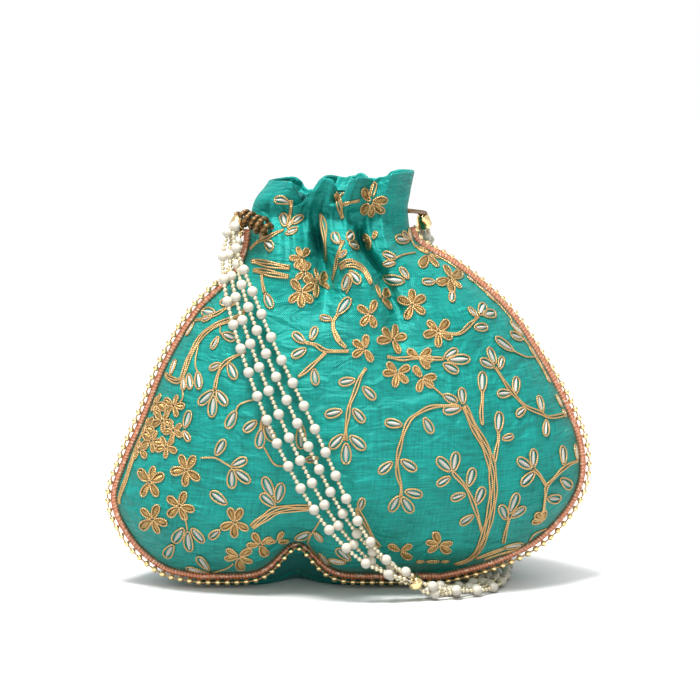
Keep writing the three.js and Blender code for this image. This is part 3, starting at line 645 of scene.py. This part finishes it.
def tube(paths, lift, radius, sides, closed=False):
    """Tubes round paths: each ring is the path point plus the radius times the cosine of the turn
    sideways and its sine along the lift. Gives points, faces and corner uv in millimetres and turns."""
    paths = paths.reshape((-1,) + paths.shape[-2:])
    lift = np.broadcast_to(lift, paths.shape)
    if closed:
        run = np.roll(paths, -1, axis=1) - np.roll(paths, 1, axis=1)
        steps = np.linalg.norm(np.roll(paths, -1, axis=1) - paths, axis=-1)
    else:
        run = np.gradient(paths, axis=1)
        steps = np.linalg.norm(np.diff(paths, axis=1), axis=-1)
    run = unit(run)
    sideways = unit(np.cross(run, lift))
    upward = np.cross(sideways, run)
    turn = 2 * np.pi * np.arange(sides) / sides
    round_it = np.cos(turn)[:, None] * sideways[:, :, None] + np.sin(turn)[:, None] * upward[:, :, None]
    points = paths[:, :, None] + np.asarray(radius, float).reshape(1, -1, 1, 1) * round_it
    index = np.arange(points.size // 3).reshape(points.shape[:3])
    here = index if closed else index[:, :-1]
    there = np.roll(index, -1, axis=1) if closed else index[:, 1:]
    corners = [here, there, np.roll(there, -1, axis=2), np.roll(here, -1, axis=2)]
    faces = np.stack(corners, axis=-1).reshape(-1, 4)
    end = np.cumsum(steps, axis=1)
    start = end - steps
    ones = np.ones((1, 1, sides))
    first = np.arange(sides) / sides * np.ones(steps.shape + (1,))
    second = first + 1 / sides
    lengths = [start[..., None] * ones, end[..., None] * ones]
    uv = np.stack([
        np.stack([lengths[0], first], axis=-1), np.stack([lengths[1], first], axis=-1),
        np.stack([lengths[1], second], axis=-1), np.stack([lengths[0], second], axis=-1)], axis=-2)
    uv = uv.reshape(-1, 4, 2)
    if not closed:
        for k in range(1, sides - 2, 2):
            near = index[:, 0][:, [0, k, k + 1, k + 2]]
            far = index[:, -1][:, [k + 2, k + 1, k, 0]]
            faces = np.concatenate([faces, near, far])
            uv = np.concatenate([uv, np.zeros((2 * len(near), 4, 2))])
    return points.reshape(-1, 3), faces, uv


def patches(points, flip):
    """Faces and corner uv of many small grids, given as points by grid, row and column."""
    count, rows, columns = points.shape[:3]
    faces = grid_faces(rows, columns, flip)
    faces = faces[None] + (np.arange(count) * rows * columns)[:, None, None]
    length = np.linalg.norm(points[:, -1, columns // 2] - points[:, 0, columns // 2], axis=-1)
    climb = np.linspace(0, 1, rows)[None, :, None] * length[:, None, None] * np.ones((1, 1, columns))
    wide = np.linspace(-1, 1, columns)[None, None, :] * np.ones((count, rows, 1))
    uv = np.stack([climb, wide], axis=-1).reshape(-1, 2)
    return points.reshape(-1, 3), faces.reshape(-1, 4), uv[faces.reshape(-1, 4)]


def joined(parts):
    """One set of points, faces and uv from several."""
    starts = np.cumsum([0] + [len(part[0]) for part in parts])
    points = np.concatenate([part[0] for part in parts])
    faces = np.concatenate([part[1] + start for part, start in zip(parts, starts)])
    return points, faces, np.concatenate([part[2] for part in parts])


twist_tree, twist_in, twist_out = new_group(
    "twisted_thread", [("Place", "NodeSocketVector"), ("Pitch", "NodeSocketFloat")], ["Tone", "Height"])
twist_place = put(twist_tree, "ShaderNodeSeparateXYZ", {0: twist_in["Place"]}).outputs
twist_turn = figure(twist_tree, "DIVIDE", twist_place[0], twist_in["Pitch"])
twist_turn = figure(twist_tree, "ADD", twist_turn, twist_place[1])
twist_wave = figure(twist_tree, "SINE", figure(twist_tree, "MULTIPLY", twist_turn, 2 * np.pi))
twist_height = figure(twist_tree, "ADD", figure(twist_tree, "MULTIPLY", twist_wave, 0.5), 0.5)
twist_tree.links.new(twist_height, twist_out["Height"])
twist_spots = noise(twist_tree, twist_in["Place"], 0.6, 3.0)
# Colour by the twist's height is painted shade in the grooves and painted highlight on the ridges; the
# noise spots are random tone.
twist_painted_shade_and_spots = scaled_sum(twist_tree, [(twist_height, 0.6), (twist_spots, 0.45)])
twist_tree.links.new(twist_painted_shade_and_spots, twist_out["Tone"])


def thread_material(name, dark, bright, metallic, roughness, pitch, depth):
    """Twisted metal thread: its colour is painted darker in the grooves of the twist as painted shade and
    brighter on its ridges as painted highlight.
    """
    material, tree, surface, uv = new_material(name)
    twist = put(tree, "ShaderNodeGroup", node_tree=twist_tree)
    tree.links.new(uv, twist.inputs["Place"])
    twist.inputs["Pitch"].default_value = pitch
    tree.links.new(blend_colour(tree, twist.outputs["Tone"], dark, bright), surface.inputs["Base Color"])
    set_finish(surface, {"Metallic": metallic, "Roughness": roughness})
    bump = put(tree, "ShaderNodeBump", {
        "Height": twist.outputs["Height"], "Strength": 0.6, "Distance": depth})
    tree.links.new(bump.outputs[0], surface.inputs["Normal"])
    return material


# Each thread's dark colour is painted shade for its grooves, and its bright colour is painted highlight
# for its ridges.
gold_cord = thread_material(
    "gold_cord", (0.2, 0.085, 0.02, 1), (0.88, 0.6, 0.27, 1), 0.7, 0.32, 1.0, 0.0003)
gold_coil = thread_material(
    "gold_coil", (0.06, 0.026, 0.006, 1), (0.72, 0.46, 0.16, 1), 0.75, 0.3, 0.9, 0.0006)
silver_bar = thread_material(
    "silver_bar", (0.62, 0.57, 0.48, 1), (0.95, 0.93, 0.87, 1), 0.12, 0.3, 1.1, 0.0003)

stem_pixels = []
stem_cords = []
for stem in stems:
    corners = np.array(stem[1:], float)
    reach = np.linalg.norm(np.diff(corners, axis=0), axis=1).sum()
    stem_pixels.append(spline(corners, np.linspace(0, 1, max(5, int(reach / 1.6)))))
    stem_cords.append(stem[0])
stem_ends = np.cumsum([len(pixels) for pixels in stem_pixels])[:-1]
stem_places = np.split(on_front(np.vstack(stem_pixels)), stem_ends)
leaf_pixels = np.array(leaves, float)
leaf_bases = on_front(leaf_pixels[:, :2])
leaf_tips = on_front(leaf_pixels[:, 2:])
petal_bases = []
petal_tips = []
for x, y, reach, angles in flowers:
    directions = np.radians(angles)
    away = np.stack([np.cos(directions), np.sin(directions)], axis=-1)
    petal_bases.append(np.array([x, y]) + 1.5 * away)
    petal_tips.append(np.array([x, y]) + reach * away)
petal_bases = on_front(np.vstack(petal_bases))
petal_tips = on_front(np.vstack(petal_tips))

# Half widths of leaves and petals as shares of their lengths
leaf_width = 0.25
petal_width = 0.27
loop_turn = 2 * np.pi * np.arange(16) / 16
loop_along = 0.5 - 0.5 * np.cos(loop_turn)
leaf_side = np.sin(loop_turn) * (0.75 + 0.45 * loop_along)
petal_side = np.sin(loop_turn) * (0.62 + 0.55 * loop_along)
fill_along, fill_side = np.meshgrid(np.linspace(0.12, 0.9, 6), np.linspace(-1, 1, 5), indexing="ij")

# The back has the front's sprays mirrored, a little narrower and drawn up off the base
layouts = {-1: ([1.0, 1.0], [0.0, 0.0]), 1: ([-0.93, 0.7], [0.0, 2.9])}


def eased(path, times):
    """Path smoothed: each point becomes a quarter, a half and a quarter of itself and its neighbours."""
    path = path.copy()
    for _ in range(times):
        path[1:-1] = path[:-2] / 4 + path[1:-1] / 2 + path[2:] / 4
    return path


embroidery = {-1: [], 1: []}
for face in (-1, 1):
    cords = []
    fills = []
    bars = []
    mirror, start = np.array(layouts[face])
    for places, number in zip(stem_places, stem_cords):
        places = eased(places * mirror + start, 1)
        path = cloth(face, places[:, 0], places[:, 1])
        _, _, normal = slopes(face, places)
        wide = unit(np.cross(normal, np.gradient(path, axis=0)))
        share = np.linspace(0, 1, len(path))
        spread = 0.55 + 0.45 * np.sin(np.pi * share) ** 0.5
        for k in range(number):
            wander = 0.2 * np.sin(0.36 * len(path) * share + 2.3 * k)
            offset = (k - (number - 1) / 2) * cord_spacing * spread + wander
            moved = shifted(face, places, wide * offset[:, None])
            _, _, normal = slopes(face, moved)
            line = cloth(face, moved[:, 0], moved[:, 1]) + 0.3 * normal
            cords.append(tube(line, normal, cord_radius, 6))
    for bases, tips, side, share in [
            (leaf_bases, leaf_tips, leaf_side, leaf_width),
            (petal_bases, petal_tips, petal_side, petal_width)]:
        moved = motif_places(face, bases * mirror + start, tips * mirror + start, loop_along, side, share)
        _, _, normal = slopes(face, moved)
        loop = cloth(face, moved[..., 0], moved[..., 1]) + 0.35 * normal
        cords.append(tube(loop, normal, cord_radius, 5, closed=True))
    for kind, bases, tips, share, wide, rise in [
            ("bar", leaf_bases, leaf_tips, leaf_width, 0.42, 0.75),
            ("fill", petal_bases, petal_tips, petal_width, 0.8, 0.6)]:
        swell = np.sin(np.pi * fill_along) ** 0.7
        if kind == "fill":
            swell = np.sin(np.pi * fill_along) * (0.62 + 0.55 * fill_along)
        moved = motif_places(face, bases * mirror + start, tips * mirror + start,
                             fill_along.ravel(), (fill_side * wide * swell).ravel(), share)
        _, _, normal = slopes(face, moved)
        lift = (0.1 + rise * (1 - fill_side ** 2)).ravel()[None, :, None]
        points = cloth(face, moved[..., 0], moved[..., 1]) + lift * normal
        patch = patches(points.reshape((-1,) + fill_along.shape + (3,)), True)
        (bars if kind == "bar" else fills).append(patch)
    side_name = "front" if face < 0 else "back"
    for label, parts, material in [
            ("cords", cords, gold_cord), ("petals", fills, gold_coil), ("leaves", bars, silver_bar)]:
        points, faces, uv = joined(parts)
        piece = make_piece("embroidery_" + label + "_" + side_name, points, faces, material, uv)
        embroidery[face].append(piece)


# Seam piping
# A cord wrapped in copper tissue ribbon is sewn into the seam and runs down the left side, along
# the bottom and up the right side.

piping_radius = 1.65
piping_distance = 1.4


def path_lengths(path):
    """Length along a path at each of its points: the running sum of the steps."""
    return np.concatenate([[0], np.cumsum(np.linalg.norm(np.diff(path, axis=0), axis=1))])


def seam_run(distance, notch_lean=0.0):
    """Path a set distance outside the seam: the seam's points, moved square to its run and a little
    to the front, then spaced evenly."""
    left = [(-1.0, station) for station in np.arange(9.5, 0.4, -0.4)]
    bottom = [(across, 0.0) for across in np.arange(-0.96, 0.97, 0.06)]
    right = [(1.0, station) for station in np.arange(0.3, 9.6, 0.4)]
    places = np.array(left + bottom + right)
    points = (cloth(-1, places[:, 0], places[:, 1]) + cloth(1, places[:, 0], places[:, 1])) / 2
    run = np.gradient(points, axis=0)
    outward = unit(np.stack([run[:, 2], 0 * run[:, 0], -run[:, 0]], axis=-1))
    side_lean = np.where(places[:, 0] < 0, 0.3, -1.6 * smooth(4, 6.5, places[:, 1]))
    outward[:, 1] -= 0.55 + (side_lean - 0.55) * smooth(0, 2.5, places[:, 1])
    in_notch = bell(points[:, 0] - notch_x, notch_width) * (places[:, 1] == 0)
    outward[:, 1] -= notch_lean * in_notch
    points = points + distance * unit(outward)
    dense = spline(points, np.linspace(0, 1, 1200))
    return dense, path_lengths(dense)


def at_lengths(path, length, wanted):
    """Points of a path at wanted lengths along it."""
    return np.stack([np.interp(wanted, length, path[:, k]) for k in range(3)], axis=-1)


copper, copper_tree, copper_surface, copper_uv = new_material("copper_tissue")
copper_twist = put(copper_tree, "ShaderNodeGroup", node_tree=twist_tree)
copper_tree.links.new(copper_uv, copper_twist.inputs["Place"])
copper_twist.inputs["Pitch"].default_value = 1.5
# The copper's colour follows the wrap's twist: painted shade in its grooves and painted highlight on its
# ridges, with random tone.
copper_painted_wrap_shade_and_tone = blend_colour(
    copper_tree, copper_twist.outputs["Tone"], (0.40, 0.11, 0.055, 1), (0.86, 0.38, 0.22, 1))
# Pale flecks scattered by noise are painted sparkle: glints of light on the metal tissue.
copper_sparkle_noise = noise(copper_tree, stretched(copper_tree, copper_uv, (0.9, 5.0, 1.0)), 1.0, 3.0)
copper_painted_sparkle = put(copper_tree, "ShaderNodeMapRange", {0: copper_sparkle_noise, 1: 0.57, 2: 0.66}).outputs[0]
copper_colour = blend_colour(copper_tree, copper_painted_sparkle, copper_painted_wrap_shade_and_tone, (0.95, 0.72, 0.55, 1))
copper_tree.links.new(copper_colour, copper_surface.inputs["Base Color"])
set_finish(copper_surface, {"Metallic": 0.35, "Roughness": 0.4})
copper_bump = put(copper_tree, "ShaderNodeBump", {
    "Height": copper_twist.outputs["Height"], "Strength": 0.35, "Distance": 0.0003})
copper_tree.links.new(copper_bump.outputs[0], copper_surface.inputs["Normal"])

piping_path, piping_length = seam_run(piping_distance)
piping_line = at_lengths(piping_path, piping_length, np.arange(0, piping_length[-1], 1.1))
points, faces, uv = tube(piping_line, np.array([0.0, -1.0, 0.02]), piping_radius, 10)
piping = make_piece("piping", points, faces, copper, uv)
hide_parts("seam_piping")


# Ball edging
# A string of small gilt balls is sewn along the outside of the piping by its own thread.

ball_radius = 1.5
ball_pitch = 4.4
edging_distance = 4.5
edging_notch_lean = 1.2


def ball_template(cuts):
    """Closed ball of radius 1: a cube's sides cut into squares at even angles and pushed out."""
    steps = np.tan(np.linspace(-1, 1, cuts + 1) * np.pi / 4)
    first, second = np.meshgrid(steps, steps, indexing="ij")
    sides = []
    for axis in range(3):
        for sign in (-1.0, 1.0):
            grid = np.empty(first.shape + (3,))
            grid[..., axis] = sign
            grid[..., (axis + 1) % 3] = first * sign
            grid[..., (axis + 2) % 3] = second
            sides.append(grid.reshape(-1, 3))
    points = unit(np.concatenate(sides))
    faces = grid_faces(cuts + 1, cuts + 1, flip=True)
    faces = np.concatenate([faces + k * (cuts + 1) ** 2 for k in range(6)])
    _, first_of, same = np.unique(np.round(points, 4), axis=0, return_index=True, return_inverse=True)
    return points[first_of], same.ravel()[faces]


def balls(centres, radius, cuts):
    """Points and faces of a ball at every centre."""
    shape, faces = ball_template(cuts)
    points = centres[:, None] + np.reshape(radius, (-1, 1, 1)) * shape[None]
    faces = faces[None] + (np.arange(len(centres)) * len(shape))[:, None, None]
    return points.reshape(-1, 3), faces.reshape(-1, 4)


def bead_material(name, scale, detail, dark, bright, values):
    """Finish of small beads: a colour that drifts from dark to bright by noise over the bag."""
    material, tree, surface, _ = new_material(name)
    place = put(tree, "ShaderNodeTexCoord").outputs["Object"]
    colour = blend_colour(tree, noise(tree, place, scale, detail), dark, bright)
    tree.links.new(colour, surface.inputs["Base Color"])
    set_finish(surface, values)
    return material


gilt = bead_material(
    "gilt", 350.0, 2.0, (0.58, 0.40, 0.16, 1), (0.92, 0.74, 0.42, 1), {"Metallic": 1.0, "Roughness": 0.16})

edging_path, edging_length = seam_run(edging_distance, edging_notch_lean)
ball_places = np.arange(ball_pitch / 2, edging_length[-1], ball_pitch)
ball_centres = at_lengths(edging_path, edging_length, ball_places)
points, faces = balls(ball_centres, ball_radius, 3)
edging = make_piece("ball_edging", points, faces, gilt)
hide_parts("bead_edging")
thread_line = at_lengths(edging_path, edging_length, np.arange(0, edging_length[-1], 2.2))
points, faces, uv = tube(thread_line, np.array([0.0, -1.0, 0.02]), 0.4, 6)
edging_thread = make_piece("edging_thread", points, faces, gold_cord, uv)


# Drawstrings
# Two twisted cords of dark gold thread run through the neck's channel, one out of each side, and both
# ends of each are knotted together beside the neck and held in an end cap.

string_radius = 1.0
channel_inset = 7.2
left_cap_mouth = np.array([-50.5, -12.0, 166.0])
left_cap_next = np.array([-51.3, -14.0, 162.4])
right_cap_mouth = np.array([36.0, 20.0, 165.0])
right_cap_next = np.array([36.6, 22.6, 161.6])
cap_length = 6.5
string_half_gap = 1.15

# Its dark colour is painted shade for the grooves, and its bright colour is painted highlight for the
# ridges.
antique_cord = thread_material(
    "antique_cord", (0.035, 0.016, 0.005, 1), (0.36, 0.20, 0.07, 1), 0.55, 0.38, 2.2, 0.0005)


def string_path(side, height, cap_top, cap_axis):
    """Route of one drawstring: from the cap in at the side slit, round the channel and back."""
    half_x = neck_half - channel_inset
    half_y = neck_half_depth - channel_inset
    across = unit(np.cross(cap_axis, [0, 0, 1]))
    across = across * (1 if across[1] * side >= 0 else -1)

    def tail(sign):
        foot = cap_top + sign * string_half_gap * side * across
        return [foot, foot - 2.2 * cap_axis,
                [neck_x + side * (neck_half + 1), sign * string_half_gap, height],
                [neck_x + side * (neck_half - 4), sign * string_half_gap, height]]

    turn = (np.pi if side < 0 else 0) - side * np.arange(2, 23) * np.pi / 12
    ring = np.stack([neck_x + half_x * np.cos(turn), half_y * np.sin(turn), 0 * turn + height], axis=-1)
    corners = np.vstack([tail(-1), ring, tail(1)[::-1]])
    return spline(corners, np.linspace(0, 1, 240))


cap_axes = [unit(left_cap_next - left_cap_mouth), unit(right_cap_next - right_cap_mouth)]
cap_mouths = [left_cap_mouth, right_cap_mouth]
left_string = (-1, "drawstring_left", 170.85)
right_string = (1, "drawstring_right", 173.15)
for (side, name, height), mouth, axis in zip([left_string, right_string], cap_mouths, cap_axes):
    path = string_path(side, height, mouth - axis * (cap_length - 1.0), axis)
    points, faces, uv = tube(path, np.array([0.02, 0.03, 1.0]), string_radius, 8)
    string = make_piece("cord_" + name, points, faces, antique_cord, uv)
    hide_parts(name)
    reach = path_lengths(path)[-1]

# The knot beside the left of the neck, a few turns of both ends wound round each other
knot_from = np.array([-47.5, -9.5, 171.5])
knot_to = np.array([-35.0, -16.5, 166.0])
knot_turns = 4.5
knot_share = np.linspace(0, 1, 150)
knot_axis = unit(knot_to - knot_from)
knot_side = unit(np.cross(knot_axis, [0, 0, 1]))
knot_up = np.cross(knot_side, knot_axis)
knot_swell = 2.4 + 1.0 * np.sin(np.pi * knot_share) + 0.5 * np.sin(11 * knot_share)
knot_angle = 2 * np.pi * knot_turns * knot_share
knot_path = knot_from + knot_share[:, None] * (knot_to - knot_from)
knot_path = knot_path + (knot_swell * np.cos(knot_angle))[:, None] * knot_side
knot_path = knot_path + (knot_swell * np.sin(knot_angle))[:, None] * knot_up
points, faces, uv = tube(knot_path, knot_axis, 1.1, 8)
knot = make_piece("drawstring_knot", points, faces, antique_cord, uv)


# End caps
# Each end of the handle is held in a small turned cap of gilt metal with a rolled lip.


def turned(profile, origin, axis, sides):
    """Turned piece: a closed outline of radius and height, swept round an axis from its origin."""
    profile = np.array(profile, float)
    side = unit(np.cross(axis, [0.3, 0.9, 0.2]))
    other = np.cross(axis, side)
    turn = 2 * np.pi * np.arange(sides) / sides
    ring = np.cos(turn)[:, None] * side + np.sin(turn)[:, None] * other
    points = origin + profile[:, None, 1:] * axis + profile[:, None, :1] * ring[None]
    index = np.arange(len(profile) * sides).reshape(len(profile), sides)
    there = np.roll(index, -1, axis=0)
    corners = [index, there, np.roll(there, -1, axis=1), np.roll(index, -1, axis=1)]
    return points.reshape(-1, 3), np.stack(corners, axis=-1).reshape(-1, 4)


cap_outline = [
    [0.5, 5.9], [2.0, 5.7], [2.5, 4.6], [2.9, 2.4], [3.0, 0.0], [3.3, -0.25], [3.65, 0.0], [3.75, 0.5],
    [3.5, 1.0], [3.4, 2.2], [3.1, 4.2], [2.6, 5.6], [1.9, 6.3], [1.2, 6.5], [0.5, 6.5],
]
for mouth, axis, name in zip(cap_mouths, cap_axes, ["handle_cap_left", "handle_cap_right"]):
    points, faces = turned(cap_outline, mouth, -axis, 28)
    cap = make_piece("gilt_" + name, points, faces, gilt)
    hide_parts(name)


# Handle
# Four threads are strung with imitation pearls, three seed beads between each two, and gathered in a
# faceted spacer bead in front of the bag; from there they run under it and up its back.

# Route: place, direction away from what it lies on, opening from a bundle (0) to a row (1), spacing
route_front = [
    [-50.5, -12, 166, -0.5, -0.86, 0, 0, 3.4], [-51.3, -14, 162.4, -0.5, -0.86, 0, 0, 3.4],
    [-51.5, -20, 152, -0.4, -0.9, 0.1, 0.5, 3.6], [-47.7, -32.5, 136.4, -0.2, -0.95, 0.25, 1, 4.2],
    [-39.4, -41, 114, -0.1, -0.97, 0.2, 1, 5], [-29.6, -47, 91.7, 0, -0.99, 0.1, 1, 5.8],
    [-19, -50.2, 68.9, 0, -1, 0, 1, 6], [-5.6, -50.2, 43, 0, -1, -0.1, 0.8, 5],
    [8.3, -47, 24, 0, -1, 0, 0.4, 4], [20, -44.2, 14, 0, -0.9, 0.4, 0.05, 3.4],
    [25, -43, 11, 0, -0.8, 0.6, 0, 3.4], [28, -42.3, 9.2, 0, -0.8, 0.6, 0, 3.4],
]
route_back = [
    [32.6, -41.2, 5.2, 0, -0.1, 1, 0, 3.4], [36, -40.4, 3.6, 0, 0, 1, 0, 3.4],
    [45, -37, 2.2, 0, 0, 1, 0.5, 4.2], [60.5, -25.2, 2, 0, 0, 1, 1, 4.2], [67.2, -9.2, 2, 0, 0, 1, 1, 4],
    [69.3, 8, 2, 0, 0, 1, 1, 4], [70.5, 27, 2.4, 0, 0, 1, 1, 4.6], [67, 43, 6, 0, -0.35, 0.94, 1, 5],
    [62.5, 53, 18, -0.1, -0.9, 0.4, 1, 5.5], [57, 55.5, 36, -0.1, -1, 0, 1, 6],
    [52, 53.5, 58, -0.1, -1, 0, 1, 6.4], [49, 50, 82, -0.15, -1, -0.1, 1, 6.4],
    [45.5, 45, 108, -0.2, -0.95, -0.2, 1, 6], [41, 38, 132, -0.3, -0.9, -0.3, 1, 5],
    [38.2, 30, 150, -0.35, -0.9, -0.3, 0.6, 4], [36.6, 22.6, 161.6, -0.4, -0.9, -0.2, 0, 3.4],
    [36, 20, 165, -0.4, -0.9, -0.2, 0, 3.4],
]
bundle_pitch = 3.4
pearl_radius = 2.4
seed_radius = 1.1
string_start = [0.5, 6.5, 1.5, 3.5]


def strand_points(route, number):
    """Points of one strand of a route: half a spacing to its side of the middle, and for the outer two
    a whole spacing more by the sine of the opening, or up by its cosine."""
    route = np.array(route, float)
    middle = spline(route[:, :3], np.linspace(0, 1, 40 * (len(route) - 1) + 1))
    run = unit(np.gradient(middle, axis=0))[::40]
    lift = unit(route[:, 3:6] - run * np.sum(route[:, 3:6] * run, axis=1, keepdims=True))
    across = unit(np.cross(run, lift))
    sign = -1 if number < 2 else 1
    spacing = np.maximum(bundle_pitch, route[:, 7:8])
    turn = route[:, 6:7] * np.pi / 2
    points = route[:, :3] + across * sign * 0.5 * spacing
    if number in (0, 3):
        points = points + across * sign * spacing * np.sin(turn) + lift * bundle_pitch * np.cos(turn)
    return points


def clear_of_cloth(path, face, room):
    """Path pushed off a panel: its y is kept at least the room outside the nearest cloth in x and z."""
    grid = panel_grids[face][:, ::2].reshape(-1, 3)
    found = []
    for part in np.array_split(path, len(path) // 40 + 1):
        gap = np.abs(part[:, None, 0] - grid[None, :, 0]) + np.abs(part[:, None, 2] - grid[None, :, 2])
        depth = np.where(gap < 3.0, face * grid[None, :, 1], -1e3)
        found.append(depth.max(axis=1))
    edge = np.concatenate(found) + room
    moved = path.copy()
    moved[:, 1] = face * np.maximum(face * path[:, 1], edge)
    return moved


pearl = bead_material(
    "pearl", 160.0, 2.0, (0.82, 0.74, 0.58, 1), (0.93, 0.89, 0.79, 1),
    {"Roughness": 0.28, "Coat Weight": 0.4, "Coat Roughness": 0.15})
seed = bead_material(
    "seed_bead", 420.0, 1.0, (0.55, 0.45, 0.22, 1), (0.90, 0.84, 0.66, 1),
    {"Metallic": 0.45, "Roughness": 0.22})

front_ends = np.mean([strand_points(route_front, k)[-1] for k in range(4)], axis=0)
back_ends = np.mean([strand_points(route_back, k)[0] for k in range(4)], axis=0)
bead_middle = (front_ends + back_ends) / 2
bead_axis = unit(back_ends - front_ends)
for number in range(4):
    front_path = spline(strand_points(route_front, number), np.linspace(0, 1, 200))
    back_path = spline(strand_points(route_back, number), np.linspace(0, 1, 260))
    front_path = clear_of_cloth(front_path, -1, pearl_radius + 0.1)
    up_back = back_path[:, 2] > 12
    pushed = clear_of_cloth(back_path, 1, pearl_radius + 0.1)
    back_path = np.where(up_back[:, None], pushed, back_path)
    front_path = eased(front_path, 25)
    back_path = eased(back_path, 25)
    inside = bead_middle + 0.12 * (front_path[-1] - front_ends)
    path = eased(np.vstack([front_path[:-4], [inside], back_path[4:]]), 2)
    path[:, 2] = np.maximum(path[:, 2], pearl_radius)
    length = path_lengths(path)
    points, faces, uv = tube(path, np.array([0.03, 0.9, 0.31]), 0.4, 6)
    thread = make_piece("handle_thread_%d" % (number + 1), points, faces, silver_bar, uv)
    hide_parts("strand_%d_front" % (number + 1), "strand_%d_back" % (number + 1))
    pitch = 2 * pearl_radius + 6 * seed_radius
    starts = np.arange(string_start[number], length[-1] - 3, pitch)
    pearl_at = at_lengths(path, length, starts)
    seed_starts = (starts[:, None] + pearl_radius + seed_radius * np.array([1, 3, 5])).ravel()
    seed_at = at_lengths(path, length, seed_starts[seed_starts < length[-1] - 1])
    pearl_at = pearl_at[np.linalg.norm(pearl_at - bead_middle, axis=1) > 5.0]
    seed_at = seed_at[np.linalg.norm(seed_at - bead_middle, axis=1) > 3.4]
    points, faces = balls(pearl_at, pearl_radius, 4)
    pearls = make_piece("pearls_%d" % (number + 1), points, faces, pearl)
    points, faces = balls(seed_at, seed_radius, 2)
    seeds = make_piece("seeds_%d" % (number + 1), points, faces, seed)

bead_outline = [
    [1.3, -2.3], [2.3, -2.5], [3.0, -1.7], [3.5, -0.8], [3.6, 0.0], [3.5, 0.8], [3.0, 1.7], [2.3, 2.5],
    [1.3, 2.3], [1.25, 0.0],
]
points, faces = turned(bead_outline[::-1], bead_middle, bead_axis, 20)
spacer = make_piece("spacer_bead", points, faces, gilt)
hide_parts("handle_bead")


# Floor, light and camera
# A white sweep lit softly from above and in front, as in a studio; where the camera sees it the floor also
# glows, and its glow fades into a painted shadow round the bag's foot.

floor_material, floor_tree, floor_surface, _ = new_material("studio_floor")
floor_rays = put(floor_tree, "ShaderNodeLightPath").outputs
floor_seen = figure(floor_tree, "MAXIMUM", floor_rays["Is Camera Ray"], floor_rays["Is Glossy Ray"])
floor_seen = figure(floor_tree, "MAXIMUM", floor_seen, floor_rays["Is Transmission Ray"])
floor_colour = blend_colour(floor_tree, floor_seen, (0.4, 0.4, 0.4, 1), (0.9, 0.9, 0.9, 1))
floor_tree.links.new(floor_colour, floor_surface.inputs["Base Color"])
# The floor's glow is dimmed by ambient occlusion near the bag, which paints a contact shadow there.
floor_painted_shadow_mask = put(floor_tree, "ShaderNodeAmbientOcclusion", {"Distance": 0.06}, samples=8).outputs["AO"]
floor_glow_with_painted_shadow = figure(floor_tree, "MULTIPLY", floor_painted_shadow_mask, floor_painted_shadow_mask)
floor_glow_with_painted_shadow = figure(floor_tree, "MULTIPLY", floor_glow_with_painted_shadow, floor_seen)
floor_tree.links.new(floor_glow_with_painted_shadow, floor_surface.inputs["Emission Strength"])
set_finish(floor_surface, {
    "Emission Color": (0.82, 0.82, 0.825, 1), "Roughness": 0.9, "Specular IOR Level": 0.0})
floor_half = 4000.0
floor_z = -0.2
floor_points = floor_half * np.array([[-1, -1, 0], [1, -1, 0], [1, 1, 0], [-1, 1, 0]]) + [0, 0, floor_z]
floor_mesh = bpy.data.meshes.new("floor")
floor_mesh.from_pydata(floor_points * 0.001, [], [[0, 1, 2, 3]])
floor_mesh.materials.append(floor_material)
floor = bpy.data.objects.new("floor", floor_mesh)
bpy.context.scene.collection.objects.link(floor)

world = bpy.data.worlds.new("studio")
bpy.context.scene.world = world
world.use_nodes = True
world_tree = world.node_tree
world_tree.nodes.clear()
rays = put(world_tree, "ShaderNodeLightPath").outputs
seen_white = figure(world_tree, "MAXIMUM", rays["Is Camera Ray"], rays["Is Glossy Ray"])
seen_white = figure(world_tree, "MAXIMUM", seen_white, rays["Is Transmission Ray"])
strength = put(world_tree, "ShaderNodeMapRange", {0: seen_white, 3: 0.23, 4: 1.0}).outputs[0]
sky = put(world_tree, "ShaderNodeBackground", {"Color": (1, 1, 1, 1), "Strength": strength})
put(world_tree, "ShaderNodeOutputWorld", {"Surface": sky.outputs[0]})

lamps = [
    ("key", (-0.2, -0.36, 1.38), 0.4, 26.0),
    ("fill", (0.25, -1.25, 0.55), 0.6, 2.2),
]
for name, place, size, power in lamps:
    lamp = bpy.data.lights.new(name, "AREA")
    lamp.size = size
    lamp.energy = power
    lamp_object = bpy.data.objects.new(name, lamp)
    lamp_object.location = place
    toward = np.array([0, 0, 0.08]) - np.array(place)
    flat = np.hypot(toward[0], toward[1])
    tilt = np.pi / 2 + np.arctan2(toward[2], flat)
    lamp_object.rotation_euler = (tilt, 0, np.arctan2(-toward[0], toward[1]))
    bpy.context.scene.collection.objects.link(lamp_object)

camera_data = bpy.data.cameras.new("camera")
camera_data.lens = view_lens
camera_data.sensor_width = 36
camera_data.clip_end = 20
camera = bpy.data.objects.new("camera", camera_data)
camera.location = tuple((view_target - view_along * view_distance) * 0.001)
camera.rotation_euler = (np.pi / 2 - view_tilt, 0, 0)
bpy.context.scene.collection.objects.link(camera)
bpy.context.scene.camera = camera
bpy.context.scene.view_settings.view_transform = "Standard"
